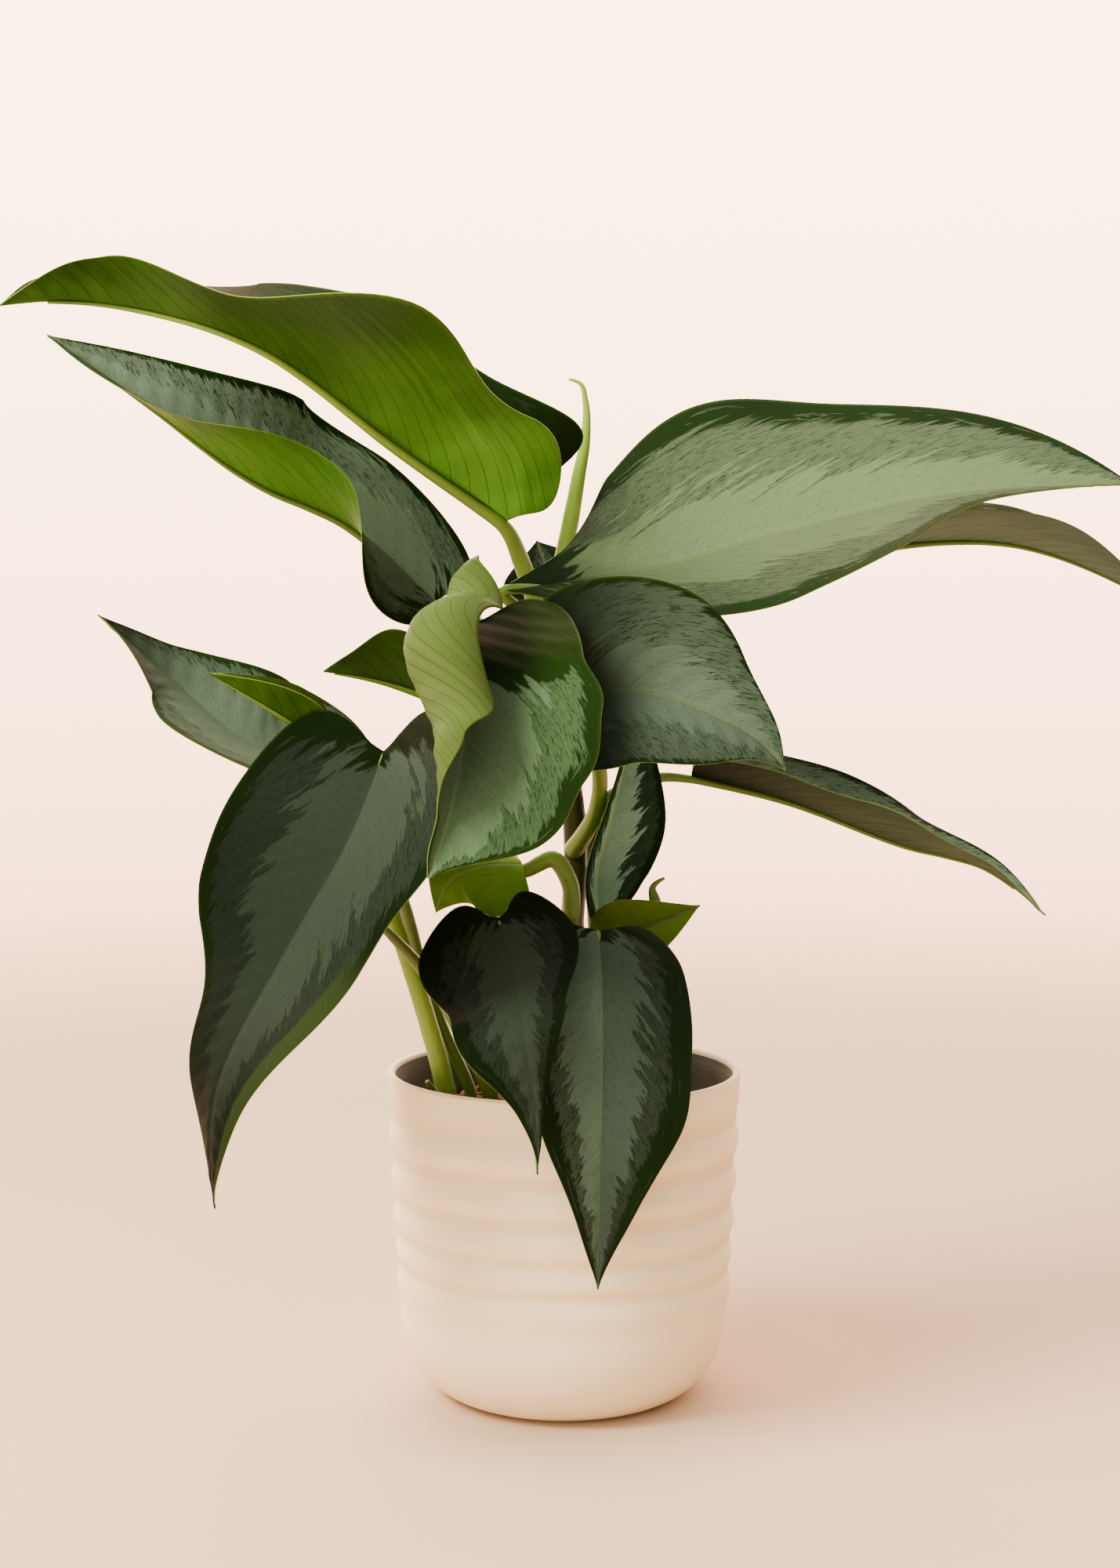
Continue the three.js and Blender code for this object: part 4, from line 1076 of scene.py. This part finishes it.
def crumb_mesh(rng):
    """Vertices and faces of the crumbs, in metres.

    Each is a unit box whose corners are moved a little at random. It is stretched, tilted, spun and laid
    on the soil at a place drawn evenly over a disc.
    """
    reach = CRUMB_REACH * np.sqrt(rng.random(CRUMBS))
    turn = 2 * np.pi * rng.random(CRUMBS)
    x, y = reach * np.cos(turn), reach * np.sin(turn)
    size = CRUMB_LEAST + CRUMB_MORE * rng.random((CRUMBS, 1)) ** 2
    stretch = np.concatenate([size * (1 + 2.2 * rng.random((CRUMBS, 1))), size, size * 0.6], 1)
    corners = np.array([[x, y, z] for z in (-1, 1) for y in (-1, 1) for x in (-1, 1)], float)
    points = corners[None] * (0.55 + 0.45 * rng.random((CRUMBS, 8, 3))) * stretch[:, None, :]
    spin = 2 * np.pi * rng.random(CRUMBS)
    tilt = 0.5 * rng.standard_normal(CRUMBS)
    across, height = turn_pair(points[..., 0], points[..., 2], tilt)
    across, back = turn_pair(across, points[..., 1], spin)
    height = height + soil_height(x, y)[:, None] + size * 0.15
    vertices = np.stack([across + x[:, None], back + y[:, None], height], -1).reshape(-1, 3)
    faces = np.asarray(CRUMB_FACES)[None] + 8 * np.arange(CRUMBS)[:, None, None]
    return vertices, faces.reshape(-1, 4).tolist()


class PLANT_OT_soil(bpy.types.Operator):
    """Fills the pot with soil and strews crumbs of bark and coir on it"""

    bl_idname = "plant.soil"
    bl_label = "Soil"

    def execute(self, context):
        radius = np.linspace(0, SOIL_RADIUS, 61)[1:][:, None]
        angle = np.linspace(0, 2 * np.pi, 180, endpoint=False)[None, :]
        x, y = radius * np.cos(angle), radius * np.sin(angle)
        top = np.stack([x, y, soil_height(x, y)], -1)[::-1]
        side = top[0] * (1, 1, 0) + (0, 0, SOIL_BOTTOM)
        ends = [(0, 0, SOIL_BOTTOM), (0, 0, float(soil_height(0.0, 0.0)))]
        vertices, faces = closed_rings(np.concatenate([side[None], top]), ends)
        dark = soil_finish("dark_soil", *pair((48, 31, 20), (92, 60, 38)))
        new_piece("potting_soil", vertices, faces, [dark], "soil")

        vertices, faces = crumb_mesh(np.random.default_rng(7))
        light = soil_finish("bark_crumbs", *pair((84, 52, 30), (140, 98, 62)))
        new_piece("soil_crumbs", vertices, faces, [light], None)
        return {"FINISHED"}


FLOOR_REACH = 3.0
FLOOR_FADE = (2.2, 0.5)  # distances where the floor is gone and where it is whole
LAMP_AIM = (0, 0, 0.22)
# Each lamp's name, place, width, watts and colour.
LAMPS = [
    ("window", (-1.2, -0.8, 1.8), 1.1, 172.0, (1.0, 0.95, 0.88)),
    ("room", (-1.2, -1.9, 0.6), 2.2, 48.0, (1.0, 0.9, 0.79)),
]
# Light of the wall behind the plant and of the room's other sides, low down and higher up.
WALL_LOW, WALL_HIGH = (4.2, 2.05, 1.1, 1.0), (10.0, 6.2, 4.2, 1.0)
ROOM_LOW, ROOM_HIGH = (0.4, 0.38, 0.34, 1.0), (2.2, 2.1, 2.0, 1.0)


def pale_floor(colour):
    """A matt floor that fades out with the distance from the plant."""
    finish = Finish("pale_floor")
    x, y = finish.parts(finish.place(), 0, 1)
    matt = {"Base Color": (*colour, 1.0), "Roughness": 0.9}
    floor = finish.node("ShaderNodeBsdfPrincipled", None, matt)
    clear = finish.node("ShaderNodeBsdfTransparent")
    shown = finish.step((x * x + y * y) ** 0.5, *FLOOR_FADE)
    both = finish.node("ShaderNodeMixShader", None, {0: shown, 1: clear, 2: floor})
    finish.node("ShaderNodeOutputMaterial", None, {0: both})
    return finish.owner


def pale_room():
    """The room's light: a bright warm wall ahead, and dim sides that get lighter upwards."""
    room = Finish("pale_room", "worlds")
    ahead, height = room.parts(room.node("ShaderNodeTexCoord"), 1, 2)
    wall = room.mix(room.step(height, -0.35, 0.3), WALL_LOW, WALL_HIGH)
    sides = room.mix(room.step(height, 0.3, 0.9), ROOM_LOW, ROOM_HIGH)
    colour = room.mix(room.step(ahead, 0.35, 0.85), sides, wall)
    background = room.node("ShaderNodeBackground", None, {0: colour, 1: 1.0})
    room.node("ShaderNodeOutputWorld", None, {0: background})
    return room.owner


class PLANT_OT_stage(bpy.types.Operator):
    """Sets the floor, the light and the camera"""

    bl_idname = "plant.stage"
    bl_label = "Stage"

    def execute(self, context):
        settings = context.scene.stage_settings
        corners = [(x * FLOOR_REACH, y * FLOOR_REACH, 0) for x, y in ((-1, -1), (1, -1), (1, 1), (-1, 1))]
        mesh = bpy.data.meshes.new("floor")
        mesh.from_pydata(corners, [], [(0, 1, 2, 3)])
        mesh.materials.append(pale_floor(settings.floor_colour))
        floor = add_object("floor", mesh)
        context.scene.world = pale_room()

        for name, spot, size, power, colour in LAMPS:
            light = bpy.data.lights.new(name, "AREA")
            light.shape = "DISK"
            light.size = size
            light.energy = power
            light.color = colour
            lamp = add_object(name, light)
            lamp.location = spot
            lamp.visible_camera = False
            lamp.visible_glossy = False
            aim = np.array(LAMP_AIM) - np.array(spot)
            tilt = math.atan2(math.hypot(aim[0], aim[1]), -aim[2])
            lamp.rotation_euler = (tilt, 0, math.atan2(aim[1], aim[0]) - math.pi / 2)

        camera = bpy.data.cameras.new("camera")
        camera.sensor_fit = "VERTICAL"
        camera.sensor_height = 36.0
        camera.lens = 52.0
        camera.clip_start = 0.01
        camera.dof.use_dof = False
        viewer = add_object("camera", camera)
        viewer.location = settings.camera_place
        viewer.rotation_euler = (math.pi / 2 - settings.camera_pitch, 0, 0)
        context.scene.camera = viewer
        return {"FINISHED"}


OPERATORS = (PLANT_OT_stage, PLANT_OT_leaves, PLANT_OT_stems, PLANT_OT_pot, PLANT_OT_soil)
GROUPS = {"plant_sizes": PlantSizes, "pot_sizes": PotSizes, "stage_settings": StageSettings}


class PLANT_PT_panel(bpy.types.Panel):
    """Lists the sizes and the steps that build the plant"""

    bl_idname = "PLANT_PT_panel"
    bl_label = "Potted plant"
    bl_space_type = "VIEW_3D"
    bl_region_type = "UI"
    bl_category = "Potted plant"

    def draw(self, context):
        for key, kind in GROUPS.items():
            for name in kind.__annotations__:
                self.layout.prop(getattr(context.scene, key), name)
        for operator in OPERATORS:
            self.layout.operator(operator.bl_idname)


def register():
    for kind in (*GROUPS.values(), *OPERATORS, PLANT_PT_panel):
        bpy.utils.register_class(kind)
    for key, kind in GROUPS.items():
        setattr(bpy.types.Scene, key, bpy.props.PointerProperty(type=kind))


def unregister():
    for key in GROUPS:
        delattr(bpy.types.Scene, key)
    for kind in reversed((*GROUPS.values(), *OPERATORS, PLANT_PT_panel)):
        bpy.utils.unregister_class(kind)


def main():
    """Builds the stage and every piece."""
    register()
    bpy.ops.plant.stage()
    bpy.ops.plant.leaves()
    bpy.ops.plant.stems()
    bpy.ops.plant.pot()
    bpy.ops.plant.soil()


if __name__ == "__main__":
    main()
